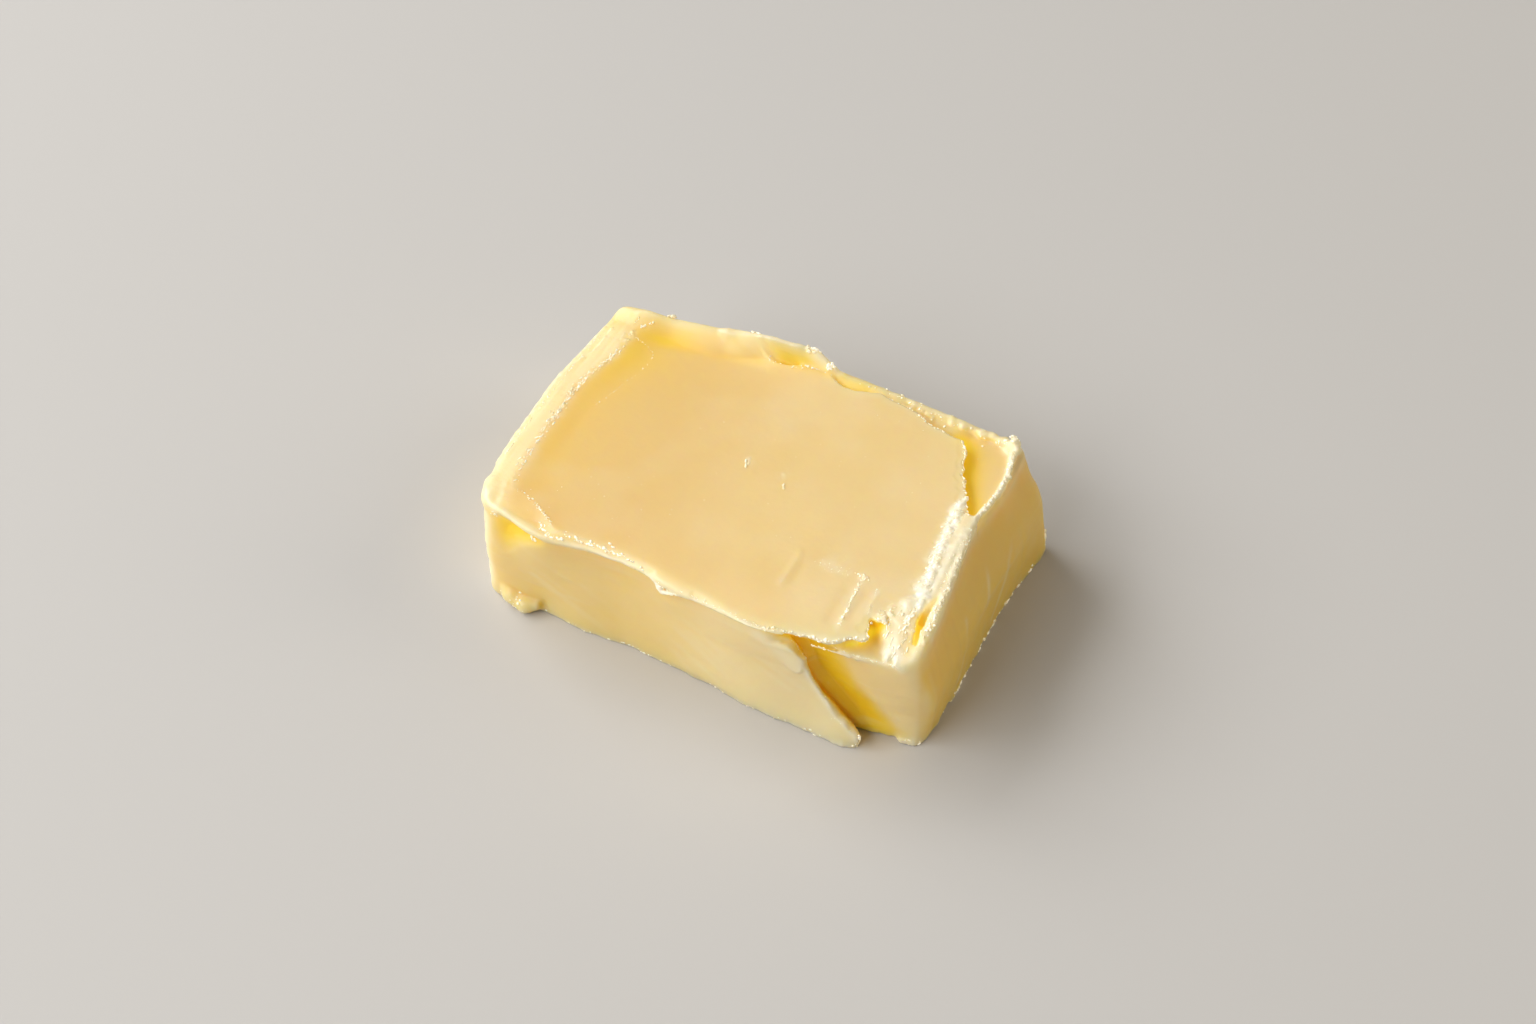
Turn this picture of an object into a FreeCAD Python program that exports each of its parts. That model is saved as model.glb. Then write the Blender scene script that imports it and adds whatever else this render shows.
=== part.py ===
"""Block of butter: one hand-cut slab with smeared skins, raised rims, a split front skin and a broken far corner.

Slab frame, in millimetres: X runs along the block, Y across it from the front face to the back face, Z up from the flat
underside.  The whole block is one solid.  The driving dimensions live in the spreadsheet "sizes".
"""
import FreeCAD, Part
import math
import os
import sys

import Sketcher

V = FreeCAD.Vector
doc = FreeCAD.newDocument("butter_block")

# ---------------------------------------------------------------- driving dimensions
SIZES = [
    # alias, value, what it is
    ("half_len", 34.0, "half of the footprint's length"),
    ("front_y", 21.4, "front face, distance in front of the middle"),
    ("back_y", 22.0, "back face, distance behind the middle"),
    ("skin_z", 19.0, "height of the smooth top skin"),
    ("waist_z", 10.0, "height of the middle section"),
    ("corner_cut", 1.8, "size of the worn upright corners"),
    ("belly", 1.6, "how far the front skin bows out"),
    ("end_lean_near", 2.2, "lean of the right end at the near corner"),
    ("end_lean_far", 5.6, "lean of the right end at the far corner"),
    ("foot_round", 0.7, "rounding along the bottom edge"),
    ("rim_w", 3.0, "width of the left rim"),
    ("rim_z", 20.4, "height of the left rim"),
    ("rim_r", 1.75, "radius of the left rim's rounded crest"),
    ("bevel_drop", 1.3, "drop of the slope between the skin and the front lip"),
    ("stroke_r", 0.3, "radius of the ridges a knife left on the skin"),
    ("trough_w", 8.0, "width of the trough beside the left rim"),
    ("trough_deep", 0.9, "depth of the trough"),
    ("curl_z", 22.0, "height of the curled back edge"),
    ("curl_w", 1.9, "thickness of the curled back edge"),
    ("ledge_drop", 1.0, "drop of the back ledge below the skin"),
    ("ledge_w", 2.0, "width of the back ledge"),
    ("notch_deep", 2.4, "depth of the broken far corner"),
    ("step_deep", 3.0, "drop of the near corner below the skin"),
    ("flap_thick", 1.2, "thickness of the top flap over the near corner"),
    ("flap_reach", 3.4, "reach of the top flap over the near corner"),
    ("setback", 2.4, "how far the near corner's front sits behind the front skin"),
    ("groove_deep", 1.6, "extra depth of the groove behind the split skin"),
    ("ridge_r", 1.3, "radius of the ridge along the right end"),
    ("slit_deep", 2.0, "depth of the slit beside the ridge"),
    ("lip_r", 0.7, "radius of the lip along the front edge"),
    ("hollow_deep", 1.5, "depth of the hollow below the lip"),
    ("toe_r", 2.0, "radius of the squeezed-out toe"),
    ("horn_r", 1.1, "radius of the horn on the far corner"),
]
sheet = doc.addObject("Spreadsheet::Sheet", "sizes")
VAL = {}
for row, (alias, value, what) in enumerate(SIZES, start=1):
    sheet.set("A%d" % row, alias)
    sheet.set("B%d" % row, "%g" % value)
    sheet.set("C%d" % row, what)
    sheet.setAlias("B%d" % row, alias)
    VAL[alias] = value
doc.recompute()


def bound(text):
    """An expression on the sheet: every alias in it becomes a reference to its cell."""
    out, word = [], ""
    for ch in text + " ":
        if ch.isalnum() or ch == "_":
            word += ch
            continue
        out.append("<<sizes>>." + word if word in VAL else word)
        out.append(ch)
        word = ""
    return "".join(out).strip()


def number(text):
    """The same expression worked out now, for a sketch's first shape."""
    total = text
    for alias in sorted(VAL, key=len, reverse=True):
        total = total.replace(alias, "(%r)" % VAL[alias])
    allowed = set("0123456789.+-*/() e")
    assert set(total) <= allowed, text
    return float(FreeCAD.Units.Quantity(total.replace(" ", "")).Value)


body = doc.addObject("PartDesign::Body", "ButterBlock")
body.Label = "butter_block"
PLANES = {f.Role: f for f in body.Origin.OriginFeatures}


def sketch(name, role, offset):
    s = body.newObject("Sketcher::SketchObject", name)
    s.AttachmentSupport = [(PLANES[role], "")]
    s.MapMode = "FlatFace"
    s.setExpression("AttachmentOffset.Base.z", bound(offset))
    return s


def outline(name, role, offset, points, closed=True):
    """A sketch of straight lines whose corners are bound to the sheet."""
    s = sketch(name, role, offset)
    xy = [(number(a), number(b)) for a, b in points]
    n = len(xy)
    count = n if closed else n - 1
    for i in range(count):
        a, b = xy[i], xy[(i + 1) % n]
        s.addGeometry(Part.LineSegment(V(a[0], a[1], 0), V(b[0], b[1], 0)), False)
    for i in range(count if closed else count - 1):
        s.addConstraint(Sketcher.Constraint("Coincident", i, 2, (i + 1) % n, 1))
    for i in range(n):
        geo, end = (i, 1) if i < count else (i - 1, 2)
        for kind, text in (("DistanceX", points[i][0]), ("DistanceY", points[i][1])):
            value = number(text)
            k = s.addConstraint(Sketcher.Constraint(kind, -1, 1, geo, end, value))
            label = "%s%d" % ("u" if kind == "DistanceX" else "v", i)
            s.renameConstraint(k, label)
            s.setExpression("Constraints." + label, bound(text))
    return s


def strand(name, role, stations, radius, sides=6):
    """A many-sided rope of the given radius through stations, each (offset, u, v, scale), lofted straight between them."""
    rings = []
    for i, (offset, u, v, scale) in enumerate(stations):
        corners = [
            (
                "%s+%s*%g" % (u, radius, scale * math.cos(2 * math.pi * k / sides)),
                "%s+%s*%g" % (v, radius, scale * math.sin(2 * math.pi * k / sides)),
            )
            for k in range(sides)
        ]
        rings.append(outline("%sRing%d" % (name, i), role, offset, corners))
    f = body.newObject("PartDesign::AdditiveLoft", name)
    f.Profile = rings[0]
    f.Sections = rings[1:]
    f.Ruled = True
    return f


def wedge(name, role, stations):
    """Cuts away the straight-sided body running through stations, each (offset, corners)."""
    rings = [
        outline("%sCut%d" % (name, i), role, offset, corners)
        for i, (offset, corners) in enumerate(stations)
    ]
    f = body.newObject("PartDesign::SubtractiveLoft", name)
    f.Profile = rings[0]
    f.Sections = rings[1:]
    f.Ruled = True
    return f


def step(kind, name, before):
    """Recomputes, checks that the feature is sound and that it changed the volume the right way."""
    doc.recompute()
    feature = doc.getObject(name)
    if any(word in ("Invalid", "Error") for word in feature.State):
        sys.exit("%s failed: %s" % (name, feature.State))
    now = feature.Shape.Volume
    if before is not None:
        good = now > before + 1e-3 if kind == "add" else now < before - 1e-3
        if not good:
            sys.exit("%s changed the volume from %.1f to %.1f" % (name, before, now))
    print("%-14s volume %9.1f mm3, %d faces, valid %s" % (name, now, len(feature.Shape.Faces), feature.Shape.isValid()))
    return now


def pad(name, profile, length, before, backwards=False):
    f = body.newObject("PartDesign::Pad", name)
    f.Profile = profile
    f.setExpression("Length", bound(length))
    f.Reversed = backwards
    profile.Visibility = False
    return step("add", name, before)


def pocket(name, profile, length, before, backwards=False):
    f = body.newObject("PartDesign::Pocket", name)
    f.Profile = profile
    f.setExpression("Length", bound(length))
    f.Reversed = backwards
    profile.Visibility = False
    return step("cut", name, before)


# ---------------------------------------------------------------- 1. the slab: five sections from the foot to the skin
def section(name, offset, lean, bow, inset):
    """One horizontal section.  lean runs from 0 at the foot to 1 at the skin; bow bulges the faces; inset is all round."""
    near, far = "end_lean_near*%g" % lean, "end_lean_far*%g" % lean
    front = "front_y-%s" % inset
    back = "back_y-%s" % inset
    left = "half_len-%s" % inset
    return outline(
        name,
        "XY_Plane",
        offset,
        [
            ("%s-half_len" % inset, "corner_cut-front_y"),
            ("%s+corner_cut-half_len" % inset, "%s-front_y" % inset),
            ("-8", "%s-front_y-belly*%g" % (inset, 0.1 * bow)),
            ("8", "%s-front_y-belly*%g" % (inset, bow)),
            ("20", "%s-front_y-belly*%g" % (inset, 0.7 * bow)),
            ("%s-2.2-%s" % (left, near), "%s-front_y-belly*%g" % (inset, 0.2 * bow)),
            ("%s-1.5-(%s+%s)*0.4" % (left, near, far), "1"),
            ("%s-%s" % (left, far), "%s-corner_cut" % back),
            ("%s-corner_cut-%s" % (left, far), back),
            ("-6", "%s-%g" % (back, 0.5 * bow)),
            ("%s+corner_cut-half_len" % inset, back),
            ("%s-half_len" % inset, "%s-corner_cut" % back),
        ],
    )


sections = [
    section("FootSection", "0", 0.0, 0.7, "foot_round"),
    section("HeelSection", "foot_round", 0.04, 0.8, "0"),
    section("WaistSection", "waist_z", 0.34, 0.9, "0"),
    section("ChestSection", "skin_z-4", 0.74, 1.0, "0"),
    section("SkinSection", "skin_z", 1.0, 1.0, "0"),
]
loft = body.newObject("PartDesign::AdditiveLoft", "Slab")
loft.Profile = sections[0]
loft.Sections = sections[1:]
loft.Ruled = True
volume = step("add", "Slab", None)

# ---------------------------------------------------------------- 2. trough beside the left rim and along the back rim
volume = pocket(
    "Trough",
    outline(
        "TroughSketch",
        "XZ_Plane",
        "front_y-3.5",
        [
            ("rim_w-half_len", "skin_z+1"),
            ("rim_w-half_len", "skin_z-trough_deep*0.6"),
            ("rim_w-half_len+trough_w*0.3", "skin_z-trough_deep"),
            ("rim_w-half_len+trough_w", "skin_z+0.02"),
            ("rim_w-half_len+trough_w", "skin_z+1"),
        ],
    ),
    "front_y+back_y-3.5-curl_w*1.6",
    volume,
)

# ---------------------------------------------------------------- 3. rims: left end, and the curled skin along the back
RIM_Z = "rim_z-rim_r"
strand(
    "LeftRim",
    "XZ_Plane",
    [
        ("front_y-0.5", "0.7-half_len+rim_r*0.8", "rim_z-rim_r-0.5", 0.85),
        ("front_y-3", "-half_len+rim_r*0.95", RIM_Z, 1.05),
        ("front_y-7", "0.2-half_len+rim_r", "rim_z-rim_r-0.2", 0.95),
        ("8", "-half_len+rim_r*0.9", "rim_z-rim_r-0.1", 0.9),
        ("0", "-half_len+rim_r*0.85", RIM_Z, 0.92),
        ("-8", "-half_len+rim_r", "rim_z-rim_r+0.1", 0.95),
        ("-14", "0.1-half_len+rim_r", "rim_z-rim_r", 1.05),
        ("3-back_y", "0.4-half_len+rim_r", "rim_z-rim_r+0.1", 1.2),
        ("1-back_y", "1.1-half_len+rim_r", "rim_z-rim_r-0.3", 1.0),
    ],
    "rim_r",
    8,
)
volume = step("add", "LeftRim", volume)
volume = pad(
    "BackCurl",
    outline(
        "BackCurlSketch",
        "XZ_Plane",
        "0.5-back_y",
        [
            ("corner_cut*1.5-half_len", "skin_z-2"),
            ("0.8", "skin_z-2"),
            ("-0.8", "skin_z+0.2"),
            ("-2", "curl_z-1.4"),
            ("-5", "curl_z-1"),
            ("-13", "curl_z-1.3"),
            ("-21", "rim_z-0.9"),
            ("corner_cut*1.5-half_len", "rim_z-1"),
        ],
    ),
    "curl_w",
    volume,
)
CURL_Y = "back_y-0.1-curl_w*0.5"
strand(
    "CurlEdge",
    "YZ_Plane",
    [
        ("3-half_len", CURL_Y, "rim_z-1.4", 0.8),
        ("-25", CURL_Y, "rim_z-1", 0.9),
        ("-19", CURL_Y + "+0.1", "curl_z-1.4", 0.8),
        ("-13", CURL_Y + "+0.3", "curl_z-1", 0.95),
        ("-9", CURL_Y + "+0.1", "curl_z-1.1", 0.8),
        ("-5", CURL_Y + "+0.5", "curl_z-0.9", 0.85),
        ("-2.4", CURL_Y + "+0.3", "curl_z-1.6", 0.7),
        ("-0.3", CURL_Y, "skin_z-0.1", 0.6),
    ],
    "curl_w*0.6",
    8,
)
volume = step("add", "CurlEdge", volume)
volume = pocket(
    "CurlHollow",
    outline(
        "CurlHollowSketch",
        "XY_Plane",
        "skin_z+0.02",
        [
            ("-12", "back_y-curl_w-0.6"),
            ("-9.5", "back_y-curl_w-2"),
            ("-5.5", "back_y-curl_w-1.5"),
            ("-2.6", "back_y-curl_w-0.7"),
            ("-3.4", "back_y-curl_w+0.5"),
            ("-10.5", "back_y-curl_w+0.4"),
        ],
    ),
    "hollow_deep",
    volume,
)

# ---------------------------------------------------------------- 4. back ledge, where the skin ends short of the back face
volume = pocket(
    "BackLedge",
    outline(
        "BackLedgeSketch",
        "XY_Plane",
        "skin_z+0.02",
        [
            ("1", "back_y+2"),
            ("1", "back_y-ledge_w*0.5"),
            ("7", "back_y-ledge_w*0.3"),
            ("11", "back_y-ledge_w"),
            ("18", "back_y-ledge_w*1.8"),
            ("21", "back_y-ledge_w*1.7"),
            ("24", "back_y+2"),
        ],
    ),
    "ledge_drop",
    volume,
)

# ---------------------------------------------------------------- 5. broken far corner: a three-sided notch in the skin
volume = pocket(
    "FarNotch",
    outline(
        "FarNotchSketch",
        "XY_Plane",
        "skin_z+0.02",
        [
            ("half_len-13.2", "back_y+2"),
            ("half_len-13.2", "back_y-3.6"),
            ("half_len-11", "back_y-7.6"),
            ("half_len-9.6", "back_y-12"),
            ("half_len-6.6", "back_y-17.2"),
            ("half_len-5.4", "back_y-13"),
            ("half_len-6.2", "back_y-5"),
            ("half_len-7.2", "back_y+2"),
        ],
    ),
    "notch_deep",
    volume,
)

# ---------------------------------------------------------------- 6. near corner: stepped down, set back, behind a split skin
volume = pocket(
    "NearStep",
    outline(
        "NearStepSketch",
        "XY_Plane",
        "skin_z+0.02",
        [
            ("11", "-front_y-belly-2"),
            ("12.5", "-front_y-0.9"),
            ("19", "-front_y-0.2"),
            ("23.4", "1.6-front_y"),
            ("23.6", "4.8-front_y"),
            ("25.2", "4.2-front_y"),
            ("26.6", "1.6-front_y"),
            ("29.4", "1.3-front_y"),
            ("half_len+1", "1.8-front_y"),
            ("half_len+1", "-front_y-belly-2"),
        ],
    ),
    "step_deep",
    volume,
)
volume = pocket(
    "NearFace",
    outline(
        "NearFaceSketch",
        "XZ_Plane",
        "front_y+belly+2",
        [
            ("13.2", "skin_z-2.2"),
            ("14.8", "skin_z-3.8"),
            ("16", "skin_z-6.2"),
            ("17", "skin_z-9.4"),
            ("21", "4.8"),
            ("24.2", "1.7"),
            ("24.3", "-1"),
            ("half_len+2", "-1"),
            ("half_len+2", "skin_z-2.2"),
        ],
    ),
    "setback+belly+1.6",
    volume,
)
volume = pocket(
    "SkinGroove",
    outline(
        "SkinGrooveSketch",
        "XZ_Plane",
        "front_y+belly+2",
        [
            ("14.4", "skin_z-3.4"),
            ("16.5", "skin_z-7.8"),
            ("17.4", "skin_z-10"),
            ("21.4", "4.6"),
            ("24.5", "1.4"),
            ("24.6", "-1"),
            ("27", "-1"),
            ("22.6", "5.8"),
            ("19.4", "skin_z-7.8"),
            ("17.6", "skin_z-3.4"),
        ],
    ),
    "setback+belly+1.6+groove_deep",
    volume,
)
volume = pocket(
    "UnderFlap",
    outline(
        "UnderFlapSketch",
        "XZ_Plane",
        "front_y+belly+2",
        [
            ("12.6", "skin_z-step_deep+0.9"),
            ("14.5", "skin_z-step_deep"),
            ("24.4", "skin_z-step_deep"),
            ("24.4", "skin_z-flap_thick"),
            ("17", "skin_z-flap_thick"),
            ("12.6", "skin_z-flap_thick-0.3"),
        ],
    ),
    "belly+2+flap_reach",
    volume,
)

# ---------------------------------------------------------------- 7. ridge along the right end, with its slit
RIDGE_Z = "skin_z-ridge_r*0.75"
strand(
    "Ridge",
    "XZ_Plane",
    [
        ("1.6-back_y", "half_len-6.7", RIDGE_Z, 0.8),
        ("7.6-back_y", "half_len-5.7", RIDGE_Z, 1.0),
        ("14-back_y", "half_len-5.6", RIDGE_Z, 0.9),
        ("-1", "half_len-6", RIDGE_Z, 1.1),
        ("6", "half_len-5.2", RIDGE_Z, 1.0),
        ("12", "half_len-4.8", RIDGE_Z, 1.1),
        ("front_y-3.6", "half_len-4.6", RIDGE_Z, 0.8),
    ],
    "ridge_r",
)
volume = step("add", "Ridge", volume)

volume = pocket(
    "RidgeSlit",
    outline(
        "RidgeSlitSketch",
        "XY_Plane",
        "skin_z+1",
        [
            ("28.4", "-7.2"),
            ("27.3", "-12.6"),
            ("28.3", "-16.2"),
            ("29", "-16.9"),
            ("28.9", "-12"),
        ],
    ),
    "slit_deep+1",
    volume,
)

# ---------------------------------------------------------------- 8. front edge: sloping band, lip, hollow, squeezed-out toe


def slope(share, inward):
    """The band's section: share of its full drop, and how far the slope runs in from the front face."""
    return [
        ("-front_y-belly-2", "skin_z+1"),
        ("-front_y-belly-2", "skin_z-bevel_drop*%g" % share),
        ("-front_y+0.4", "skin_z-bevel_drop*%g" % share),
        ("%g-front_y" % inward, "skin_z+0.02"),
        ("%g-front_y" % inward, "skin_z+1"),
    ]


wedge(
    "FrontSlope",
    "YZ_Plane",
    [
        ("-31", slope(0.9, 3.4)),
        ("-27.5", slope(1.0, 4.2)),
        ("-21", slope(0.85, 1.6)),
        ("-12", slope(0.5, 1.1)),
        ("6", slope(0.1, 0.6)),
    ],
)
volume = step("cut", "FrontSlope", volume)
LIP_Z = "skin_z-lip_r-0.1"
strand(
    "Lip",
    "YZ_Plane",
    [
        ("-31.2", "0.6-front_y", LIP_Z + "-bevel_drop*0.5", 0.7),
        ("-27", "-front_y+0.1", LIP_Z + "-bevel_drop*0.7", 1.0),
        ("-23.4", "-front_y-0.3", LIP_Z + "-bevel_drop*0.75", 1.0),
        ("-15", "0.1-front_y", LIP_Z + "-bevel_drop*0.4", 0.9),
        ("-8.6", "0.1-front_y", LIP_Z, 0.9),
        ("-4", "-front_y-0.5", LIP_Z + "-0.1", 1.1),
        ("9", "-front_y-belly+0.1", LIP_Z, 0.8),
    ],
    "lip_r",
)
volume = step("add", "Lip", volume)

volume = pocket(
    "LipHollow",
    outline(
        "LipHollowSketch",
        "XZ_Plane",
        "front_y+belly",
        [
            ("-31.3", "skin_z-2.2"),
            ("-24.5", "skin_z-3.6"),
            ("-26", "skin_z-5"),
            ("-30.4", "skin_z-7.6"),
        ],
    ),
    "belly+hollow_deep",
    volume,
)


strand(
    "Toe",
    "XY_Plane",
    [
        ("0.15", "-28.8", "0.9-front_y", 0.9),
        ("toe_r*0.7", "-28.7", "0.8-front_y", 1.05),
        ("toe_r*1.5", "-28.9", "1.5-front_y", 0.6),
    ],
    "toe_r",
)
volume = step("add", "Toe", volume)
strand(
    "Horn",
    "XY_Plane",
    [
        ("skin_z-3", "half_len-7.2", "back_y-2", 1.5),
        ("skin_z+0.4", "half_len-6.7", "back_y-1.7", 1.2),
        ("skin_z+1.5", "half_len-6.3", "back_y-1.5", 0.5),
    ],
    "horn_r",
)
volume = step("add", "Horn", volume)

# ---------------------------------------------------------------- 9. marks of the knife: ridges on the skin, smear on the front
STROKE_Z = "skin_z"
strand(
    "LongStroke",
    "XZ_Plane",
    [
        ("10.6", "19", "skin_z-stroke_r*0.7", 0.7),
        ("14.3", "18.9", STROKE_Z, 1.0),
        ("17.7", "19.4", STROKE_Z, 1.25),
        ("20.4", "19.5", STROKE_Z, 0.9),
    ],
    "stroke_r",
)
volume = step("add", "LongStroke", volume)
strand(
    "FaintStroke",
    "XZ_Plane",
    [
        ("12.1", "21.7", "skin_z-stroke_r*0.7", 0.7),
        ("15.2", "21.8", STROKE_Z, 0.9),
        ("17.2", "21.7", "skin_z-stroke_r*0.7", 0.7),
    ],
    "stroke_r",
)
volume = step("add", "FaintStroke", volume)
strand(
    "SoftStroke",
    "XZ_Plane",
    [
        ("9.5", "9.5", "skin_z-stroke_r*1.2", 1.3),
        ("13.3", "9.5", "skin_z-stroke_r*0.9", 1.6),
        ("15.8", "9.4", "skin_z-stroke_r*1.2", 1.3),
    ],
    "stroke_r",
)
volume = step("add", "SoftStroke", volume)
for i, (x, y0, y1) in enumerate(((13.1, 9.3, 10.3), (14.3, 9.6, 11.4), (15.7, 10.1, 11.5), (17.0, 10.4, 12.1))):
    strand(
        "Tick%d" % (i + 1),
        "XZ_Plane",
        [
            ("%g" % y0, "%g" % x, "skin_z-stroke_r*0.4", 0.7),
            ("%g" % y1, "%g" % (x + 0.2), "skin_z-stroke_r*0.4", 0.8),
        ],
        "stroke_r",
    )
    volume = step("add", "Tick%d" % (i + 1), volume)
volume = pad(
    "SmearTongue",
    outline(
        "SmearTongueSketch",
        "XZ_Plane",
        "front_y",
        [
            ("9.4", "skin_z-1.6"),
            ("13.4", "skin_z-3.2"),
            ("15", "skin_z-5.4"),
            ("15.2", "skin_z-7.6"),
            ("14.2", "skin_z-8.8"),
            ("12.6", "skin_z-8"),
            ("10.6", "skin_z-5.2"),
        ],
    ),
    "belly+0.35",
    volume,
)

# ---------------------------------------------------------------- place it: origin at the middle of the underside's box
doc.recompute()
box = body.Shape.optimalBoundingBox(False, False) if hasattr(body.Shape, "optimalBoundingBox") else body.Shape.BoundBox
body.Placement = FreeCAD.Placement(
    V(-(box.XMin + box.XMax) / 2, -(box.YMin + box.YMax) / 2, -box.ZMin), FreeCAD.Rotation()
)
doc.recompute()
print("slab-frame box x %.3f..%.3f y %.3f..%.3f z %.3f..%.3f" % (box.XMin, box.XMax, box.YMin, box.YMax, box.ZMin, box.ZMax))

# ---------------------------------------------------------------- check everything, then write the file
problems = []
for obj in doc.Objects:
    if any(word in ("Invalid", "Error") for word in obj.State):
        problems.append("%s is %s" % (obj.Name, obj.State))
os.makedirs("parts", exist_ok=True)
for piece in (body,):
    shape = piece.Shape
    if shape.isNull() or not shape.isValid():
        problems.append("%s has no valid shape" % piece.Label)
    elif len(shape.Solids) != 1:
        problems.append("%s has %d solids" % (piece.Label, len(shape.Solids)))
if problems:
    sys.exit("; ".join(problems))
for piece in (body,):
    shape = piece.Shape
    shape.exportStep(os.path.join("parts", piece.Label + ".step"))
    b = shape.BoundBox
    print(
        "%s: %.1f x %.1f x %.1f mm, volume %.1f cm3, faces %d"
        % (piece.Label, b.XLength, b.YLength, b.ZLength, shape.Volume / 1000, len(shape.Faces))
    )
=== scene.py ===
"""Visual model of the butter block: one sculpted skin, meshed from a distance field, and one joined mesh of fine crumbs."""
import math
import time

import bpy
import numpy as np
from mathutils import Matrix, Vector


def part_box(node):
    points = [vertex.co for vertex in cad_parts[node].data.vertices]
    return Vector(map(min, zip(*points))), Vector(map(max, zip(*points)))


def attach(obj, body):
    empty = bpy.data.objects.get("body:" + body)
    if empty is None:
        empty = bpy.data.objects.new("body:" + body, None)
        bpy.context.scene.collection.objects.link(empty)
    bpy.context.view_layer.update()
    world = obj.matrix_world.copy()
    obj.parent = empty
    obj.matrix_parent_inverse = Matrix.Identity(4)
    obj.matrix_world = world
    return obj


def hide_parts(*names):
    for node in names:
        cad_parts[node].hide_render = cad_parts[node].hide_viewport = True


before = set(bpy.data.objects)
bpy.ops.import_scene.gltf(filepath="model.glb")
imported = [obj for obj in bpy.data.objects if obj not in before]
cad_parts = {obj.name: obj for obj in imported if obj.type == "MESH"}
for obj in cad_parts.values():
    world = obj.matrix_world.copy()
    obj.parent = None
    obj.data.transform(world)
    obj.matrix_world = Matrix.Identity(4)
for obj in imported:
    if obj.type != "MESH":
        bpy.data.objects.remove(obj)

T0 = time.time()
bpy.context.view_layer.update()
F = np.float32

# The slab frame is the CAD's sketch frame in millimetres: SHIFT carries it to the row frame.
box_lo, box_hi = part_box("butter_block")
SHIFT = np.array([box_lo.x * 1000 + 34.175, box_lo.y * 1000 + 23.460, box_lo.z * 1000])

PITCH = 0.2
FACE_LIMIT = 186000

# ------------------------------------------------------------------ grid and field tools
LO = np.array([-37.0, -27.0, -1.4])
HI = np.array([37.0, 26.8, 24.6])
COUNT = np.ceil((HI - LO) / PITCH).astype(int) + 1
AX = [(LO[i] + PITCH * np.arange(COUNT[i])).astype(F) for i in range(3)]
X, Y, Z = AX[0][:, None, None], AX[1][None, :, None], AX[2][None, None, :]
X2, Y2 = AX[0][:, None], AX[1][None, :]


def bspline_rows(coords, origin, scale, count):
    """Weights that spread a coarse lattice over the fine coordinates, cubic B-spline."""
    u = (coords - origin) / scale
    cell = np.floor(u).astype(int)
    t = u - cell
    w = np.zeros((len(coords), count), F)
    rows = np.arange(len(coords))
    for k, weight in enumerate(
        ((1 - t) ** 3 / 6, (3 * t**3 - 6 * t**2 + 4) / 6, (-3 * t**3 + 3 * t**2 + 3 * t + 1) / 6, t**3 / 6)
    ):
        w[rows, np.clip(cell + k, 0, count - 1)] += weight
    return w


def lattice(seed, scale, axes, spans):
    rng = np.random.default_rng(seed)
    scale = np.broadcast_to(np.asarray(scale, float), (len(axes),))
    counts = [int((spans[i][1] - spans[i][0]) / scale[i]) + 5 for i in range(len(axes))]
    a = rng.standard_normal(counts).astype(F)
    for i, ax in enumerate(axes):
        w = bspline_rows(ax.astype(float), spans[i][0], scale[i], counts[i])
        a = np.moveaxis(np.tensordot(w, a, axes=(1, i)), 0, i)
    return (a * (2.2 if len(axes) == 2 else 3.2)).astype(F)


def noise3(seed, scale):
    """Smooth noise over the whole grid; scale in mm, one number or one per axis; about unit spread."""
    return lattice(seed, scale, AX, [(LO[i], HI[i]) for i in range(3)])


def noise2(seed, scale):
    return lattice(seed, scale, AX[:2], [(LO[i], HI[i]) for i in range(2)])


def smin(a, b, k):
    h = np.clip(0.5 + 0.5 * (b - a) / k, 0, 1)
    return b + (a - b) * h - k * h * (1 - h)


def smax(a, b, k):
    return -smin(-a, -b, k)


def step01(t):
    t = np.clip(t, 0, 1)
    return t * t * (3 - 2 * t)


def hermite(x, stations):
    """Smooth curve through (position, value) stations, flat beyond the ends."""
    xs = np.array([s[0] for s in stations], float)
    ys = np.array([s[1] for s in stations], float)
    m = np.gradient(ys, xs) if len(xs) > 2 else np.full(len(xs), (ys[-1] - ys[0]) / (xs[-1] - xs[0]))
    m[0] = m[-1] = 0
    x = np.clip(x, xs[0], xs[-1])
    i = np.clip(np.searchsorted(xs, x, side="right") - 1, 0, len(xs) - 2)
    h = xs[i + 1] - xs[i]
    t = (x - xs[i]) / h
    return (
        (2 * t**3 - 3 * t**2 + 1) * ys[i]
        + (t**3 - 2 * t**2 + t) * h * m[i]
        + (-2 * t**3 + 3 * t**2) * ys[i + 1]
        + (t**3 - t**2) * h * m[i + 1]
    ).astype(F)


def smooth_loop(points, per=6, closed=True):
    """Catmull-Rom through the points."""
    p = np.array(points, float)
    n = len(p)
    out = []
    last = n if closed else n - 1
    for i in range(last):
        if closed:
            a, b, c, d = p[i - 1], p[i], p[(i + 1) % n], p[(i + 2) % n]
        else:
            a, b, c, d = p[max(i - 1, 0)], p[i], p[i + 1], p[min(i + 2, n - 1)]
        for k in range(per):
            t = k / per
            out.append(0.5 * (2 * b + (c - a) * t + (2 * a - 5 * b + 4 * c - d) * t**2 + (3 * b - a - 3 * c + d) * t**3))
    if not closed:
        out.append(p[-1])
    return np.array(out)


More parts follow.
